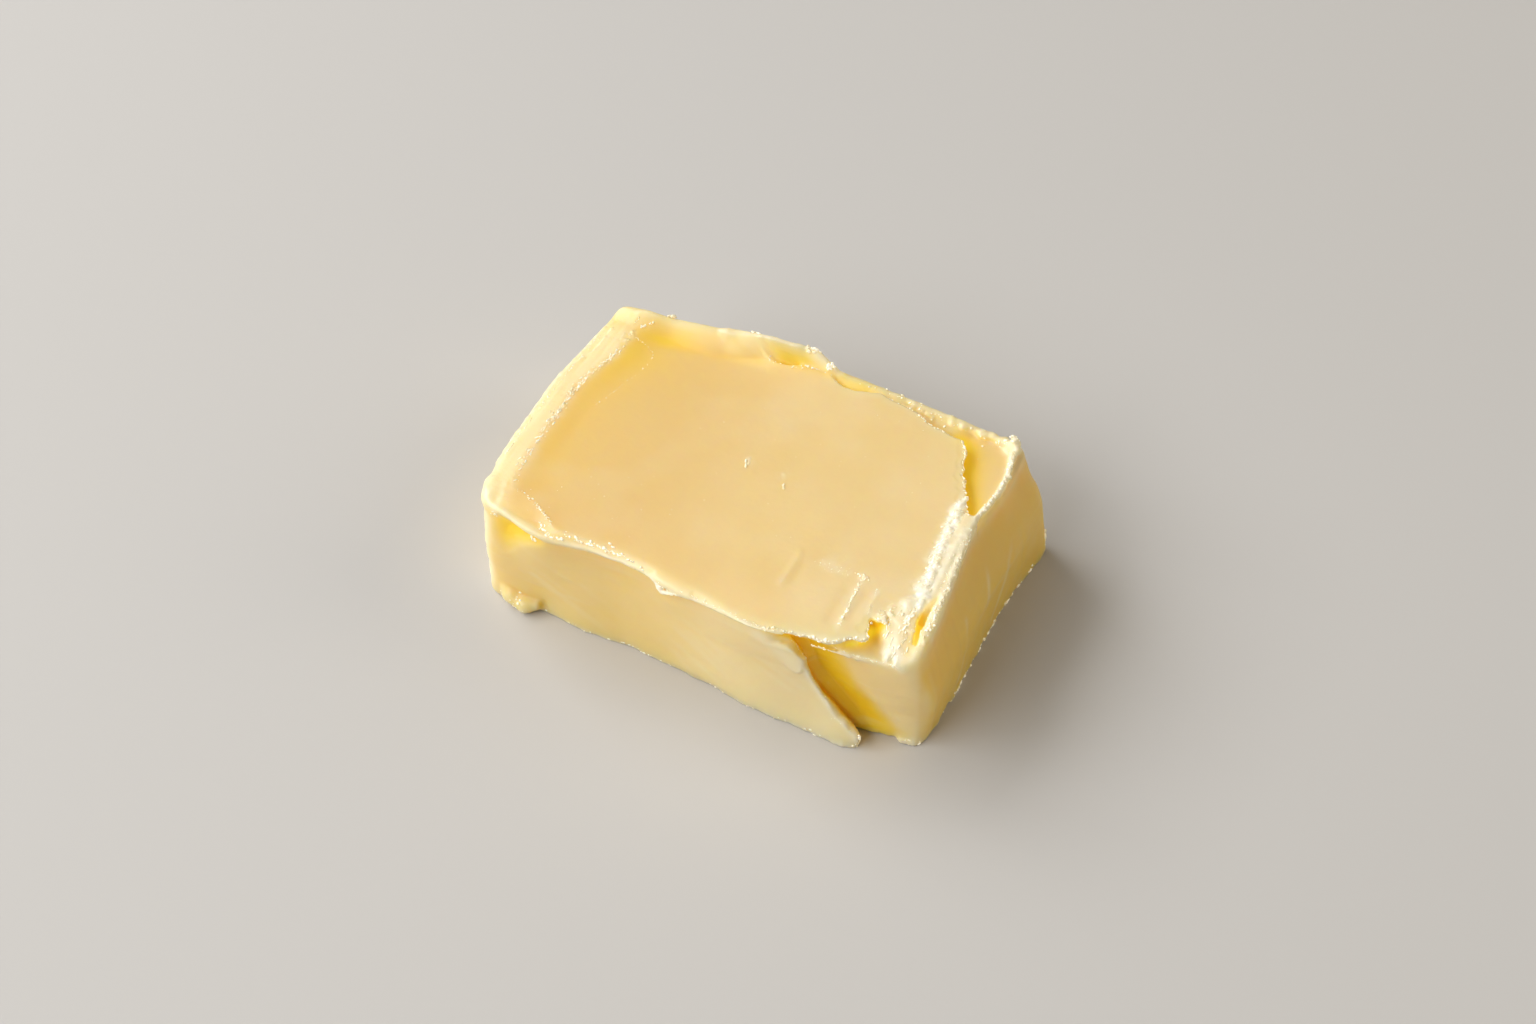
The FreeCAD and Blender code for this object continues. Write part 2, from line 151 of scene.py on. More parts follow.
def polygon_sd(poly, px, py):
    """Signed distance to a closed polygon over an open 2-D grid, negative inside."""
    best = np.full(np.broadcast(px, py).shape, 1e6, F)
    inside = np.zeros(best.shape, bool)
    n = len(poly)
    for i in range(n):
        ax, ay = poly[i]
        bx, by = poly[(i + 1) % n]
        ex, ey = bx - ax, by - ay
        length = ex * ex + ey * ey
        if length < 1e-12:
            continue
        t = np.clip(((px - ax) * ex + (py - ay) * ey) / length, 0, 1)
        d = (px - ax - ex * t) ** 2 + (py - ay - ey * t) ** 2
        np.minimum(best, d.astype(F), out=best)
        cross = (ay > py) != (by > py)
        if abs(by - ay) > 1e-12:
            inside ^= cross & (px < (bx - ax) * (py - ay) / (by - ay) + ax)
    best = np.sqrt(best)
    return np.where(inside, -best, best).astype(F)


def blur_axis(a, radius, axis):
    """Box blur along one axis with clamped ends."""
    pad = [(0, 0)] * a.ndim
    pad[axis] = (radius + 1, radius)
    c = np.cumsum(np.pad(a, pad, mode="edge"), axis=axis, dtype=np.float64 if a.ndim == 2 else F)
    n = a.shape[axis]
    hi = [slice(None)] * a.ndim
    lo = [slice(None)] * a.ndim
    hi[axis] = slice(2 * radius + 1, 2 * radius + 1 + n)
    lo[axis] = slice(0, n)
    return ((c[tuple(hi)] - c[tuple(lo)]) / (2 * radius + 1)).astype(F)


def blur(a, sigma_mm, passes=2):
    radius = max(1, int(round(sigma_mm / PITCH * math.sqrt(3.0 / passes))))
    for _ in range(passes):
        for axis in range(a.ndim):
            a = blur_axis(a, radius, axis)
    return a


def window(lo, hi):
    out = []
    for i in range(3):
        a = int(np.clip(math.floor((lo[i] - LO[i]) / PITCH), 0, COUNT[i] - 1))
        b = int(np.clip(math.ceil((hi[i] - LO[i]) / PITCH) + 1, a + 1, COUNT[i]))
        out.append(slice(a, b))
    return tuple(out)


def axes_of(win):
    return X[win[0]], Y[:, win[1]], Z[:, :, win[2]]


def segment_distance(win, a, b, ra, rb, flat=1.0):
    """Distance to a tapering capsule; flat below 1 squashes it in z."""
    x, y, z = axes_of(win)
    e = b - a
    px, py, pz = x - F(a[0]), y - F(a[1]), (z - F(a[2])) / F(flat)
    ez = e[2] / flat
    length = max(e[0] ** 2 + e[1] ** 2 + ez**2, 1e-9)
    t = np.clip((px * F(e[0]) + py * F(e[1]) + pz * F(ez)) / F(length), 0, 1)
    d = np.sqrt((px - t * F(e[0])) ** 2 + (py - t * F(e[1])) ** 2 + (pz - t * F(ez)) ** 2)
    return d - (F(ra) + t * F(rb - ra))


def rope(field, points, radii, k, flat=1.0, cut=False, masks=()):
    """Joins (or cuts) a rope of capsules to the field; masks are (array, strength, reach) painted around it."""
    points = np.asarray(points, float)
    radii = np.broadcast_to(np.asarray(radii, float), (len(points),))
    reach = max(radii) + k + 0.6 + max([m[2] for m in masks], default=0)
    whole = window(points.min(0) - reach, points.max(0) + reach)
    shape = tuple(s.stop - s.start for s in whole)
    local = np.full(shape, 4.0, F)
    for i in range(len(points) - 1):
        a, b = points[i], points[i + 1]
        w = window(np.minimum(a, b) - reach, np.maximum(a, b) + reach)
        inner = tuple(slice(w[j].start - whole[j].start, w[j].stop - whole[j].start) for j in range(3))
        local[inner] = np.minimum(local[inner], segment_distance(w, a, b, radii[i], radii[i + 1], flat))
    if field is not None:
        if cut:
            field[whole] = smax(field[whole], -local, k)
        else:
            field[whole] = smin(field[whole], local, k)
    for array, strength, span in masks:
        soft = strength * step01(1 - local / span)
        array[whole] = np.maximum(array[whole], soft) if strength > 0 else np.minimum(array[whole], soft)


def beaded(stations, spacing, radius, jitter, seed, wander=0.0, drop=0.0):
    """A fine crest: points every spacing mm along the stations, with uneven radius, wander and gaps that sink."""
    rng = np.random.default_rng(seed)
    line = smooth_loop(stations, 12, closed=False)
    seg = np.linalg.norm(np.diff(line, axis=0), axis=1)
    s = np.concatenate([[0], np.cumsum(seg)])
    n = max(3, int(s[-1] / spacing) + 1)
    at = np.linspace(0, s[-1], n)
    pts = np.stack([np.interp(at, s, line[:, i]) for i in range(3)], 1)
    pts += rng.normal(0, wander, pts.shape) * [1, 1, 0.6]
    r = radius * (1 + jitter * rng.uniform(-1, 1, n))
    if drop:
        sink = rng.random(n) < drop
        pts[sink, 2] -= radius * 0.9
    return pts, np.maximum(r, 0.06)


# ------------------------------------------------------------------ outlines of the block
FOOT = smooth_loop([
    (-34.4, -18.3), (-33.8, -20.2), (-31.6, -21.4), (-27.5, -21.3), (-24.6, -20.9), (-18.7, -21.6), (-12.8, -21.3),
    (-7.7, -21.4), (0.1, -22.2), (9.6, -23.2), (17.5, -23.5), (21.6, -23.6), (24.4, -23.0), (26.5, -22.4), (29.5, -21.8), (31.6, -21.0), (32.2, -19.0),
    (32.6, -8.0), (32.6, 2.0), (33.0, 11.8), (33.9, 19.4), (33.5, 21.2), (31.6, 21.9), (24.0, 22.6), (8.0, 23.0),
    (-10.0, 22.4), (-26.0, 21.6), (-32.0, 21.3), (-33.7, 20.1), (-34.3, 17.5), (-34.3, 8.0), (-34.4, -8.0),
])
WAIST = smooth_loop([
    (-34.4, -17.6), (-33.9, -19.7), (-32.0, -21.1), (-28.4, -21.4), (-24.0, -21.6), (-18.7, -21.6), (-12.8, -21.4),
    (-7.7, -21.6), (0.1, -22.4), (9.6, -23.2), (17.5, -22.6), (24.6, -21.9), (29.5, -21.4), (31.5, -20.8), (32.2, -19.2),
    (32.2, -8.0), (31.9, 2.0), (32.3, 11.8), (32.2, 19.2), (31.6, 21.0), (30.0, 21.7), (24.0, 22.4), (8.0, 23.0),
    (-10.0, 22.6), (-26.0, 21.6), (-32.0, 21.2), (-34.3, 20.2), (-35.0, 17.4), (-35.2, 8.0), (-34.9, -8.0),
])
CROWN = smooth_loop([
    (-34.1, -17.9), (-33.4, -19.6), (-31.8, -20.8), (-28.6, -21.4), (-24.0, -22.3), (-19.0, -21.7), (-13.5, -21.2),
    (-8.6, -21.6), (-4.5, -22.3), (2.4, -23.2), (7.5, -23.8), (16.0, -23.4), (25.0, -21.6), (28.8, -20.6), (30.3, -19.2),
    (30.7, -16.0), (30.5, -12.3), (29.9, -6.9), (29.1, 0.4), (29.2, 6.5), (29.7, 12.1), (29.4, 19.2), (28.4, 21.6), (23.8, 22.3),
    (17.0, 22.8), (8.7, 23.4), (0.7, 23.6), (-7.6, 23.2), (-13.3, 22.6), (-20.0, 21.9), (-27.0, 21.7), (-32.5, 22.2), (-34.7, 21.8),
    (-35.8, 19.6), (-36.45, 12.9), (-36.45, 2.2), (-35.6, -11.8),
])
sd_foot = blur(polygon_sd(FOOT, X2, Y2), 0.5)
sd_waist = blur(polygon_sd(WAIST, X2, Y2), 0.6)
sd_crown = blur(polygon_sd(CROWN, X2, Y2), 0.45)

# edge of the smooth top skin; where it lies outside the block there is no edge
SKIN = np.array([
    (-42, -34), (-6, -34), (9.0, -34), (10.2, -24.9), (11.4, -24.5), (13.8, -23.7), (15.9, -23.4), (17.8, -22.9), (19.6, -22.5),
    (21.1, -21.8), (22.2, -21.0), (23.2, -20.6), (23.8, -19.8), (23.3, -18.9), (23.2, -17.8), (23.5, -16.9), (23.9, -16.2), (24.6, -15.6),
    (25.6, -15.5), (27.0, -15.9), (28.6, -16.6), (30.6, -17.2), (42, -17.2), (42, 3.6), (28.4, 4.2),
    (27.3, 5.0), (25.7, 8.0), (24.5, 10.4), (23.7, 12.2), (22.4, 15.8), (21.3, 18.0), (20.7, 18.5), (18.0, 18.6),
    (15.0, 19.4), (13.0, 20.5), (11.0, 20.9), (9.0, 21.2), (7.0, 21.8), (5.0, 21.2), (3.4, 20.6), (1.8, 20.6), (0.6, 21.1),
    (-0.6, 21.9), (-1.8, 22.5), (-3.6, 22.3), (-5.5, 21.9), (-7.2, 21.2), (-8.8, 21.0), (-10.6, 21.5), (-12.4, 22.3),
    (-14.4, 23.4), (-16.0, 25.0), (-18.0, 34), (-42, 34),
])
sd_skin = polygon_sd(SKIN, X2, Y2)
print("outlines", round(time.time() - T0, 1))

# ------------------------------------------------------------------ heights over the block
n_wide = noise2(11, 11.0)
n_mid = noise2(12, 3.2)
n_fine = noise2(13, 1.1)
n_grain = noise2(14, 0.55)
crest_x = hermite(AX[1], [(-21, -30.0), (-17.6, -30.9), (-13.8, -31.4), (-10.3, -31.8), (-7.6, -32.0), (-0.6, -32.3), (4.0, -32.4),
                          (8.9, -31.6), (12.4, -30.8), (16.6, -30.8), (20, -30.0)])[None, :]
rim_z = hermite(AX[1], [(-21, 18.75), (-19.5, 18.9), (-17, 18.98), (-12, 19.0), (-6, 18.98), (0, 19.0), (6, 19.02), (12, 19.06), (17, 19.15),
                        (20.5, 19.35), (22, 19.45)])[None, :]
skin_z = 19.0 + 0.05 * n_wide + 0.012 * n_mid
t = X2 - crest_x
# trough beside the rim: steep under the crest, then a long soft rise
depth = hermite(AX[1], [(-21, 0.0), (-17, 0.05), (-12, 0.08), (-4, 0.08), (4, 0.09), (10, 0.12), (15, 0.14), (19, 0.1), (22, 0.05)])[None, :]
reach = hermite(AX[1], [(-21, 6.0), (-12, 9.0), (0, 10.0), (10, 9.0), (18, 11.0), (22, 11.0)])[None, :]
trough = depth * np.exp(-np.maximum(t - 3.0, 0) / (0.36 * reach)) * step01((t + 0.2) / 3.0)
# the skin's faint first edge, a crease that follows the trough
crease_x = hermite(AX[1], [(-2, -28.6), (2, -28.0), (6.4, -26.6), (12.0, -25.3), (14.2, -25.8), (16.7, -29.4)])[None, :]
crease_w = (step01((Y2 + 2) / 3) * step01((17 - Y2) / 2)).astype(F)
crease = 0.03 * crease_w * step01((X2 - crease_x + 0.25) / 0.5) * np.exp(-np.maximum(X2 - crease_x, 0) / 3.0)
height = skin_z - trough + crease

# rim band: a low roll that turns over outwards, from the broken inner crest a soft fall to the trough
band = rim_z + 0.08 - 0.32 * (np.clip(-t, 0, 6) / 2.7) ** 1.7
streak = lattice(21, (0.42, 5.0), AX[:2], [(LO[i], HI[i]) for i in range(2)])
band = band + 0.045 * streak * step01((-0.3 - t) / 1.2)
fall = step01((t - 0.05 + 0.15 * n_fine) / hermite(AX[1], [(-20, 4.2), (-10, 4.6), (0, 4.8), (10, 5.4), (18, 6.2)])[None, :])
height = band * (1 - fall) + height * fall

# ramp up to the back edge, over the left half, then the curl with its hollow
back_z = hermite(AX[0], [(-34, 20.0), (-31, 20.3), (-27, 20.7), (-22, 21.1), (-18, 21.3), (-14, 21.7), (-11.5, 21.9), (-9, 21.9), (-4, 21.8), (0, 19.5)])[:, None]
ramp_from = hermite(AX[0], [(-34, 18.6), (-31, 18.0), (-27, 18.6), (-23, 18.0), (-18, 17.8), (-14, 19.2), (-11, 20.8), (-8, 22.4)])[:, None]
ramp_w = step01((X2 + 37.5) / 3.0) * step01((-8.0 - X2) / 7.5)
ramp = np.clip((Y2 - ramp_from) / np.maximum(22.2 - ramp_from, 0.8), 0, 1.3)
height = height + (back_z - height) * ramp_w * (1 - np.maximum(np.cos(np.minimum(ramp, 1) * np.pi / 2), 0) ** 1.4)
# dip in front of the ramp at the far left
dip = np.exp(-(((X2 + 26.0) / 5.5) ** 2 + ((Y2 - 0.16 * (X2 + 26) - 18.1) / 1.9) ** 2))
height = height - 0.28 * dip

# the skin slopes down to a lip along the left part of the front edge
edge_y = hermite(AX[0], [(-34, -16.4), (-30.4, -17.0), (-28.25, -17.35), (-26.8, -17.75), (-24.5, -18.9), (-22.9, -20.0), (-21.3, -21.0), (-18.5, -21.05), (-12.6, -21.1), (-6, -21.9), (4, -23.4), (12, -24.2)])[:, None]
lip_drop = hermite(AX[0], [(-34, 0.2), (-31.5, 0.28), (-28.6, 0.42), (-24.6, 0.52), (-21.0, 0.62), (-16, 0.65), (-10, 0.48), (-4, 0.5), (2, 0.4), (10, 0.25), (20, 0.1)])[:, None]
slope = np.clip((edge_y - Y2) / hermite(AX[0], [(-32, 3.8), (-27, 3.0), (-24.6, 1.9), (-20, 1.3), (-12, 1.2), (-4, 1.3), (10, 0.9)])[:, None], 0, 1.05)
front_w = step01((X2 + 32.8) / 1.8)
height = height - lip_drop * slope**1.35 * front_w + 0.025 * np.exp(-(((Y2 - edge_y) / 0.3) ** 2)) * front_w * step01((-8 - X2) / 6)

# soft ridges and furrows a knife left near the right front
for x0, y0, y1, amp, wid in ((9.85, -17.4, -9.4, 0.10, 0.55), (11.2, -16.5, -11.0, -0.05, 0.8), (21.9, -16.6, -11.7, 0.07, 0.25), (20.6, -19.5, -11.8, -0.10, 0.7),
                             (18.1, -20.5, -12.2, -0.10, 0.8)):
    along = step01((Y2 - y0) / 1.6) * step01((y1 - Y2) / 1.6)
    height = height + amp * np.exp(-(((X2 - x0 + 0.03 * n_mid) / wid) ** 2)) * along
height = height.astype(F)

# floor under the skin's edge: near ledge, far notch, back ledge
low = np.where(Y2 < 0, 16.75, 17.9).astype(F)
to_ridge = np.maximum(hermite(AX[1], [(-20, 30.3), (-12.5, 30.2), (-4.7, 29.2), (3.7, 28.3), (7.3, 28.7), (12.1, 29.0), (17.6, 28.4), (20, 27.8)])[None, :] - X2, 0)
across = np.maximum(sd_skin, 0) / (np.maximum(sd_skin, 0) + to_ridge + 0.01)
floor_notch = 17.5 + 0.6 * step01(across) + 0.03 * n_mid
floor_back = 17.75 + 0.10 * np.clip(sd_skin, 0, 3) + 0.12 * n_mid + (0.35 * step01((-1 - X2) / 2) + 0.75 * step01((-6.5 - X2) / 5) + 1.5 * step01((-9.3 - X2) / 3.2))
mix = step01((X2 - 19.0) / 2.6)
ledge = 16.05 + 0.05 * n_mid + 0.04 * np.clip(X2 - 24, 0, 6) + 1.15 * step01((Y2 + 21.6) / 4.5)
ledge = ledge + np.maximum(18.95 - ledge, 0) * step01((Y2 + 20.3) / 4.6) * step01((X2 - 23.6 + 0.3 * (Y2 + 18)) / 2.4)
low = np.where(Y2 < 3, ledge, floor_back * (1 - mix) + floor_notch * mix).astype(F)
low = low + 0.5 * step01((Y2 - 21.0) / 1.5) * step01((X2 - 18) / 3) * (0.7 + 0.3 * n_fine)
low = np.minimum(low, height - 0.6 + 3 * np.clip(sd_skin + 0.6, 0, 3))
# how far the skin overhangs what is below it
tuck = np.where(Y2 < -10, 1.2 * step01((X2 - 10) / 4), 0.1 + 1.15 * step01((X2 - 19) / 3) * step01((Y2 - 4) / 3)).astype(F)
tuck = tuck * np.clip(step01(np.abs(Y2 + 3) / 4), 0, 1) * np.where(Y2 < -10, step01((25.4 - X2) / 1.6), 1)

# ------------------------------------------------------------------ the block as a distance field
w_foot = np.clip(1 - Z / 9.5, 0, 1) ** 1.3
w_crown = step01((Z - 8.5) / 9.5)
w_waist = 1 - w_foot - w_crown
sides = sd_foot[:, :, None] * w_foot + sd_waist[:, :, None] * w_waist + sd_crown[:, :, None] * w_crown
# faces are never quite flat
wob = noise3(31, (9.0, 9.0, 6.0))
sides = sides + 0.12 * wob
swell = np.maximum(np.sin(np.pi * np.clip(Z / 19.0, 0, 1)), 0) ** 0.7 * step01((X - 25) / 6)
sides = sides - swell * (0.5 + 0.55 * step01((Y + 6) / 20))
del wob

edge_serrate = lattice(41, (0.75, 0.75), AX[:2], [(LO[i], HI[i]) for i in range(2)])
right_part = step01((X2 - 12) / 5)
front_teeth = step01((X2 - 14) / 3) * (Y2 < -15)
skin_edge = sd_skin + (0.16 + 0.08 * front_teeth) * edge_serrate * right_part + 0.05 * n_fine
# skin: its top surface, cut by the skin's edge, a little thinner towards the edge
thick = 0.55 + 0.35 * np.clip(-skin_edge, 0, 3)
upper = smax(Z - height[:, :, None], (skin_edge + tuck)[:, :, None], 0.35)
leaf = smax(np.abs(Z - (height - thick * 0.5)[:, :, None]) - (thick * 0.5)[:, :, None], skin_edge[:, :, None], 0.4)
lower = Z - low[:, :, None]
top = smin(smin(upper, lower, 0.5), leaf, 0.3)
del upper, leaf, lower
D = smax(sides, top, 0.9 + 0.7 * step01((-29.5 - X) / 3.0))
print("body", round(time.time() - T0, 1))

# masks painted on the field: gold is painted golden shade in hollows; pale marks paler torn edges and drag lines
# together with painted light on thin edges and corners, which also makes them glossier
gold_shade = np.zeros_like(D)
pale_and_lit = np.zeros_like(D)

# ------------------------------------------------------------------ split front skin and the face behind it
win = window((8, -27, -1.4), (37, -14, 18.6))
x, y, z = axes_of(win)
edge_x = hermite(AX[2], [(-1, 24.4), (0.3, 24.6), (1.2, 24.7), (2.0, 24.4), (2.8, 23.6), (3.8, 22.6), (5.1, 21.3), (6.5, 20.0), (9.3, 17.9), (12.4, 16.6), (13.8, 16.2), (15.0, 15.4), (16.2, 14.3), (18, 11.5)])[None, None, :]
edge_x = edge_x[:, :, win[2]]
ragged = noise3(43, 0.9)[win]
q = (x - edge_x) * F(0.86) + 0.10 * ragged
set_foot = hermite(AX[0], [(16, -20.3), (22.5, -20.2), (26.2, -20.0), (29, -19.65), (31, -19.3), (33, -18.6)])[:, None, None][win[0]]
set_head = hermite(AX[0], [(14, -21.75), (16.6, -21.55), (19.2, -21.3), (23.2, -21.0), (28.1, -20.6), (29.6, -20.4), (31, -20.0), (32, -19.5)])[:, None, None][win[0]]
rise = (np.clip(z, 0, 16.5) / 16) ** 1.1
set_y = set_foot * (1 - rise) + set_head * rise
set_y = set_y + 1.35 * step01((q + 1.2) / 1.2) * step01((6.8 - q) / 6.8) * (0.2 + 0.8 * step01((z - 0.5) / 5.0))
front_y = -22.6
skin_back = front_y + 0.4 + 0.85 * np.clip(-q, 0, 2.2)
removed = smax(y - set_y, -q, 0.5)
behind = smax(smax(y - set_y, skin_back - y, 0.25), -(q + 1.9), 0.4)
removed = smin(removed, behind, 0.25)
removed = smax(removed, z - 17.2, 0.4)
D[win] = smax(D[win], -removed, 0.35 + 1.0 * step01((x - 27.5) / 3.0))
# painted golden shade in the groove behind the split skin
gold_shade[win] = np.maximum(gold_shade[win], step01((q + 2.2) / 1.5) * step01((5.6 - q) / 5.2) * step01((set_y + 3.0 - y) / 2.0) * step01((17.6 - z) / 1.5) * step01((y - skin_back + 0.1) / 0.5))
# paler line along the flap's edge: painted highlight
flap_line = [(float(np.interp(v, [0.3, 2.0, 3.8, 6.5, 9.3, 12.4, 15.0], [24.6, 24.4, 22.6, 20.0, 17.9, 16.6, 15.4])) - 0.1, -22.75, v) for v in (0.3, 1.2, 2.0, 2.8, 3.8, 5.1, 6.5, 8.0, 9.3, 11.0, 12.4, 13.8)]
rope(None, flap_line, 0.2, 0.2, masks=((pale_and_lit, 0.6, 0.7),))

# raised smear tongue beside the split, and thin layering along the skin's free edge
tongue = polygon_sd(smooth_loop([(9.0, 17.4), (12.2, 16.4), (14.6, 14.9), (15.9, 13.4), (16.2, 12.0), (15.6, 10.9), (14.6, 11.1), (13.2, 12.3), (11.8, 14.0), (9.6, 16.2)]), AX[0][win[0]][:, None], AX[2][win[2]][None, :])[:, None, :]
tongue_face = -22.98 - 0.05 * (x - 12)
D[win] = smin(D[win], smax(tongue, np.abs(y - tongue_face - 0.6) - 0.6, 0.5), 0.4)
rope(None, [(10.2, -23.3, 16.6), (13.2, -23.1, 14.6), (15.3, -23.0, 12.2)], 0.5, 0.2, masks=((pale_and_lit, 0.38, 1.3),))

# ------------------------------------------------------------------ hollow under the lip, at the front's left end
cut = polygon_sd(smooth_loop([(-30.8, 17.9), (-28.6, 17.8), (-26.2, 17.4), (-23.8, 16.8), (-25.2, 16.2), (-27.0, 15.2), (-28.6, 13.6), (-29.6, 12.2), (-30.3, 13.2), (-30.8, 15.6)]), X2, AX[2][None, :])
win = window((-35, -26, 6), (-20, -17, 21))
x, y, z = axes_of(win)
cut3 = cut[win[0]][:, None, win[2]]
inward = 1.5 * step01((-cut3 + 1.6) / 4.2) * step01((x + 32.4) / 5.5) * step01((z - 10.5) / 5.5)
D[win] = smax(D[win], -smax(cut3 - 0.5, y + 21.75 - inward, 1.2), 1.3)
# painted golden shade in the hollow under the lip
gold_shade[win] = np.maximum(gold_shade[win], 0.95 * step01((-cut3 + 2.6) / 4.0) * step01((x + 33.5) / 5.0) * step01((z - 8.5) / 6.0) * step01((-19.0 - y) / 1.0) * step01((18.2 - z) / 0.7))

# ------------------------------------------------------------------ rolled lip along the front edge
lip = [(-33.3, -18.6, 18.4), (-32.6, -19.7, 18.33), (-31.0, -20.6, 18.28), (-28.6, -21.15, 18.2), (-26.6, -21.6, 17.98), (-24.6, -22.05, 17.75), (-21.2, -22.0, 17.65), (-16, -21.5, 17.9), (-10, -21.6, 18.1),
       (-5.6, -22.3, 18.1), (-3.3, -22.75, 18.0), (-1.6, -23.0, 18.0), (2.3, -23.4, 18.2), (7.2, -24.0, 18.45), (10.4, -24.3, 18.7), (13.5, -23.7, 18.75)]
pts, rad = beaded(lip, 1.1, 0.24, 0.2, 51, wander=0.04)
rad = rad * np.interp(pts[:, 0], [-33, -29, -6, -2, 13], [0.8, 1.0, 1.0, 0.7, 0.7])
rope(D, pts, rad, 0.8)
# paler lip, partly painted light along the rolled edge
rope(None, pts[pts[:, 0] < -2], 0.22, 0.8, masks=((pale_and_lit, 0.38, 0.85),))
rope(None, pts[pts[:, 0] > -3], 0.15, 0.8, masks=((pale_and_lit, 0.26, 0.7),))
win = window((-31.5, -22.6, 13.0), (-24.0, -18.0, 17.3))
pale_and_lit[win] *= 1 - 0.85 * np.clip(gold_shade[win], 0, 1)
# the tag that hangs from the lip
rope(D, [(-5.4, -22.0, 18.15), (-4.0, -22.3, 18.15), (-2.4, -22.5, 18.15), (-0.4, -22.6, 18.1)], [0.35, 0.45, 0.45, 0.3], 0.9)
rope(D, [(-5.6, -22.3, 17.95), (-4.9, -22.75, 17.4), (-4.2, -22.95, 16.98), (-3.5, -23.0, 17.08), (-2.4, -22.95, 17.5), (-1.3, -22.95, 17.8)], [0.22, 0.3, 0.3, 0.28, 0.2, 0.14], 0.35, masks=((pale_and_lit, 0.95, 0.6),))
# rounded nub where rim and lip meet, and the lump at the far left corner
rope(D, [(-32.7, -18.9, 17.75), (-34.0, -16.8, 17.7)], [0.7, 0.55], 1.6, masks=((pale_and_lit, 0.4, 1.7),))

# painted light down the front-left corner, which faces the light
rope(None, [(-34.2, -19.0, 2.5), (-34.3, -18.6, 10.0), (-33.8, -18.8, 17.5)], 0.5, 0.2, masks=((pale_and_lit, 0.58, 2.6),))

# foot lump squeezed out under the left front
for a, b, r0, r1 in (((-29.8, -21.0, 1.5), (-27.2, -21.5, 1.1), 1.35, 1.15), ((-27.2, -21.5, 1.1), (-25.6, -21.2, 1.5), 1.1, 0.8), ((-30.4, -20.8, 2.6), (-29.6, -21.2, 2.0), 0.8, 0.9)):
    rope(D, [a, b], [r0, r1], 0.8)
rope(D, [(-24.6, -22.4, 0.2), (-24.2, -21.4, 1.6), (-24.4, -21.2, 2.6)], [0.7, 0.45, 0.2], 0.5, cut=True)

# ------------------------------------------------------------------ broken crest along the left rim
crest = [(float(hermite(np.array([v]), [(-21, -30.0), (-17.6, -30.9), (-13.8, -31.4), (-10.3, -31.8), (-7.6, -32.0), (-0.6, -32.3), (4.0, -32.4), (8.9, -31.6), (12.4, -30.8), (16.6, -30.8), (20, -30.0)])[0]) + 0.25, v, zz)
         for v, zz in ((-18.2, 19.0), (-15, 19.15), (-12, 19.17), (-9, 19.14), (-6, 19.12), (-3, 19.12), (0, 19.14), (3, 19.15), (6, 19.16), (9, 19.2), (12, 19.22), (15, 19.25), (17.6, 19.32))]
crest = [(a, b, c - 0.2) for a, b, c in crest]
pts, rad = beaded(crest, 0.42, 0.13, 0.6, 61, wander=0.2, drop=0.5)
rope(D, pts, rad, 0.3, masks=((pale_and_lit, 0.5, 0.5),))
rng = np.random.default_rng(62)
for i in range(46):
    k = rng.integers(0, len(pts) - 4)
    p = pts[k] + [rng.uniform(-0.9, 0.5), 0, 0]
    ln = rng.uniform(0.5, 1.7)
    ang = math.radians(90 + rng.uniform(-38, 12))
    qn = p + [ln * math.cos(ang), ln * math.sin(ang), -0.25]
    p[2] -= 0.08
    qn[2] = p[2] - 0.04
    rope(D, [p, qn], [rng.uniform(0.1, 0.15), rng.uniform(0.07, 0.11)], 0.25, masks=((pale_and_lit, 0.45, 0.4),))
# fine layers along the rim's outer edge
rim_lines = {}
for lift, seed in ((-0.26, 63), (-0.62, 64)):
    line = []
    for v in (-13.0, -8.0, -3.0, 2.0, 7.0, 12.0, 17.0):
        # slide in from outside at this height until the skin is met
        zz = 18.75 + lift + 0.02 * v
        k = int(round((v - LO[1]) / PITCH))
        m = int(round((zz - LO[2]) / PITCH))
        while not (D[:, k, m] < 0).any():
            m -= 1
        inside = np.nonzero(D[:, k, m] < 0)[0]
        line.append((LO[0] + PITCH * inside[0] + 0.02, v, LO[2] + PITCH * m))
    rim_lines[seed] = line
    rope(D, *beaded(line, 0.6, 0.13, 0.5, seed, wander=0.04, drop=0.0), 0.35, masks=((pale_and_lit, 0.85, 0.45),))

# ------------------------------------------------------------------ curled lip along the back
curl = [(-18.0, 21.5, 20.9), (-15.6, 21.9, 21.15), (-13.6, 22.3, 21.4), (-11.0, 22.7, 21.55), (-8.0, 22.9, 21.5), (-5.6, 23.3, 21.3), (-4.2, 23.4, 21.2), (-3.0, 23.3, 20.6), (-1.9, 23.1, 19.9), (-0.6, 22.9, 18.9)]
rope(D, *beaded(curl, 0.8, 0.32, 0.2, 71, wander=0.04), 0.6, masks=((pale_and_lit, 0.35, 0.6),))
wall = [(-17, 21.9, 20.2), (-14, 22.5, 20.3), (-10, 23.0, 20.3), (-6, 23.3, 20.2), (-3.4, 23.3, 19.7), (-1.6, 23.1, 18.9)]
rope(D, smooth_loop(wall, 4, closed=False), 0.78, 0.9)
wall = [(-16, 22.3, 19.0), (-10, 23.0, 18.9), (-6, 23.3, 18.9), (-2.4, 23.1, 18.4), (0.6, 22.8, 17.9), (4.0, 22.8, 17.7)]
rope(D, smooth_loop(wall, 4, closed=False), 0.9, 1.0)
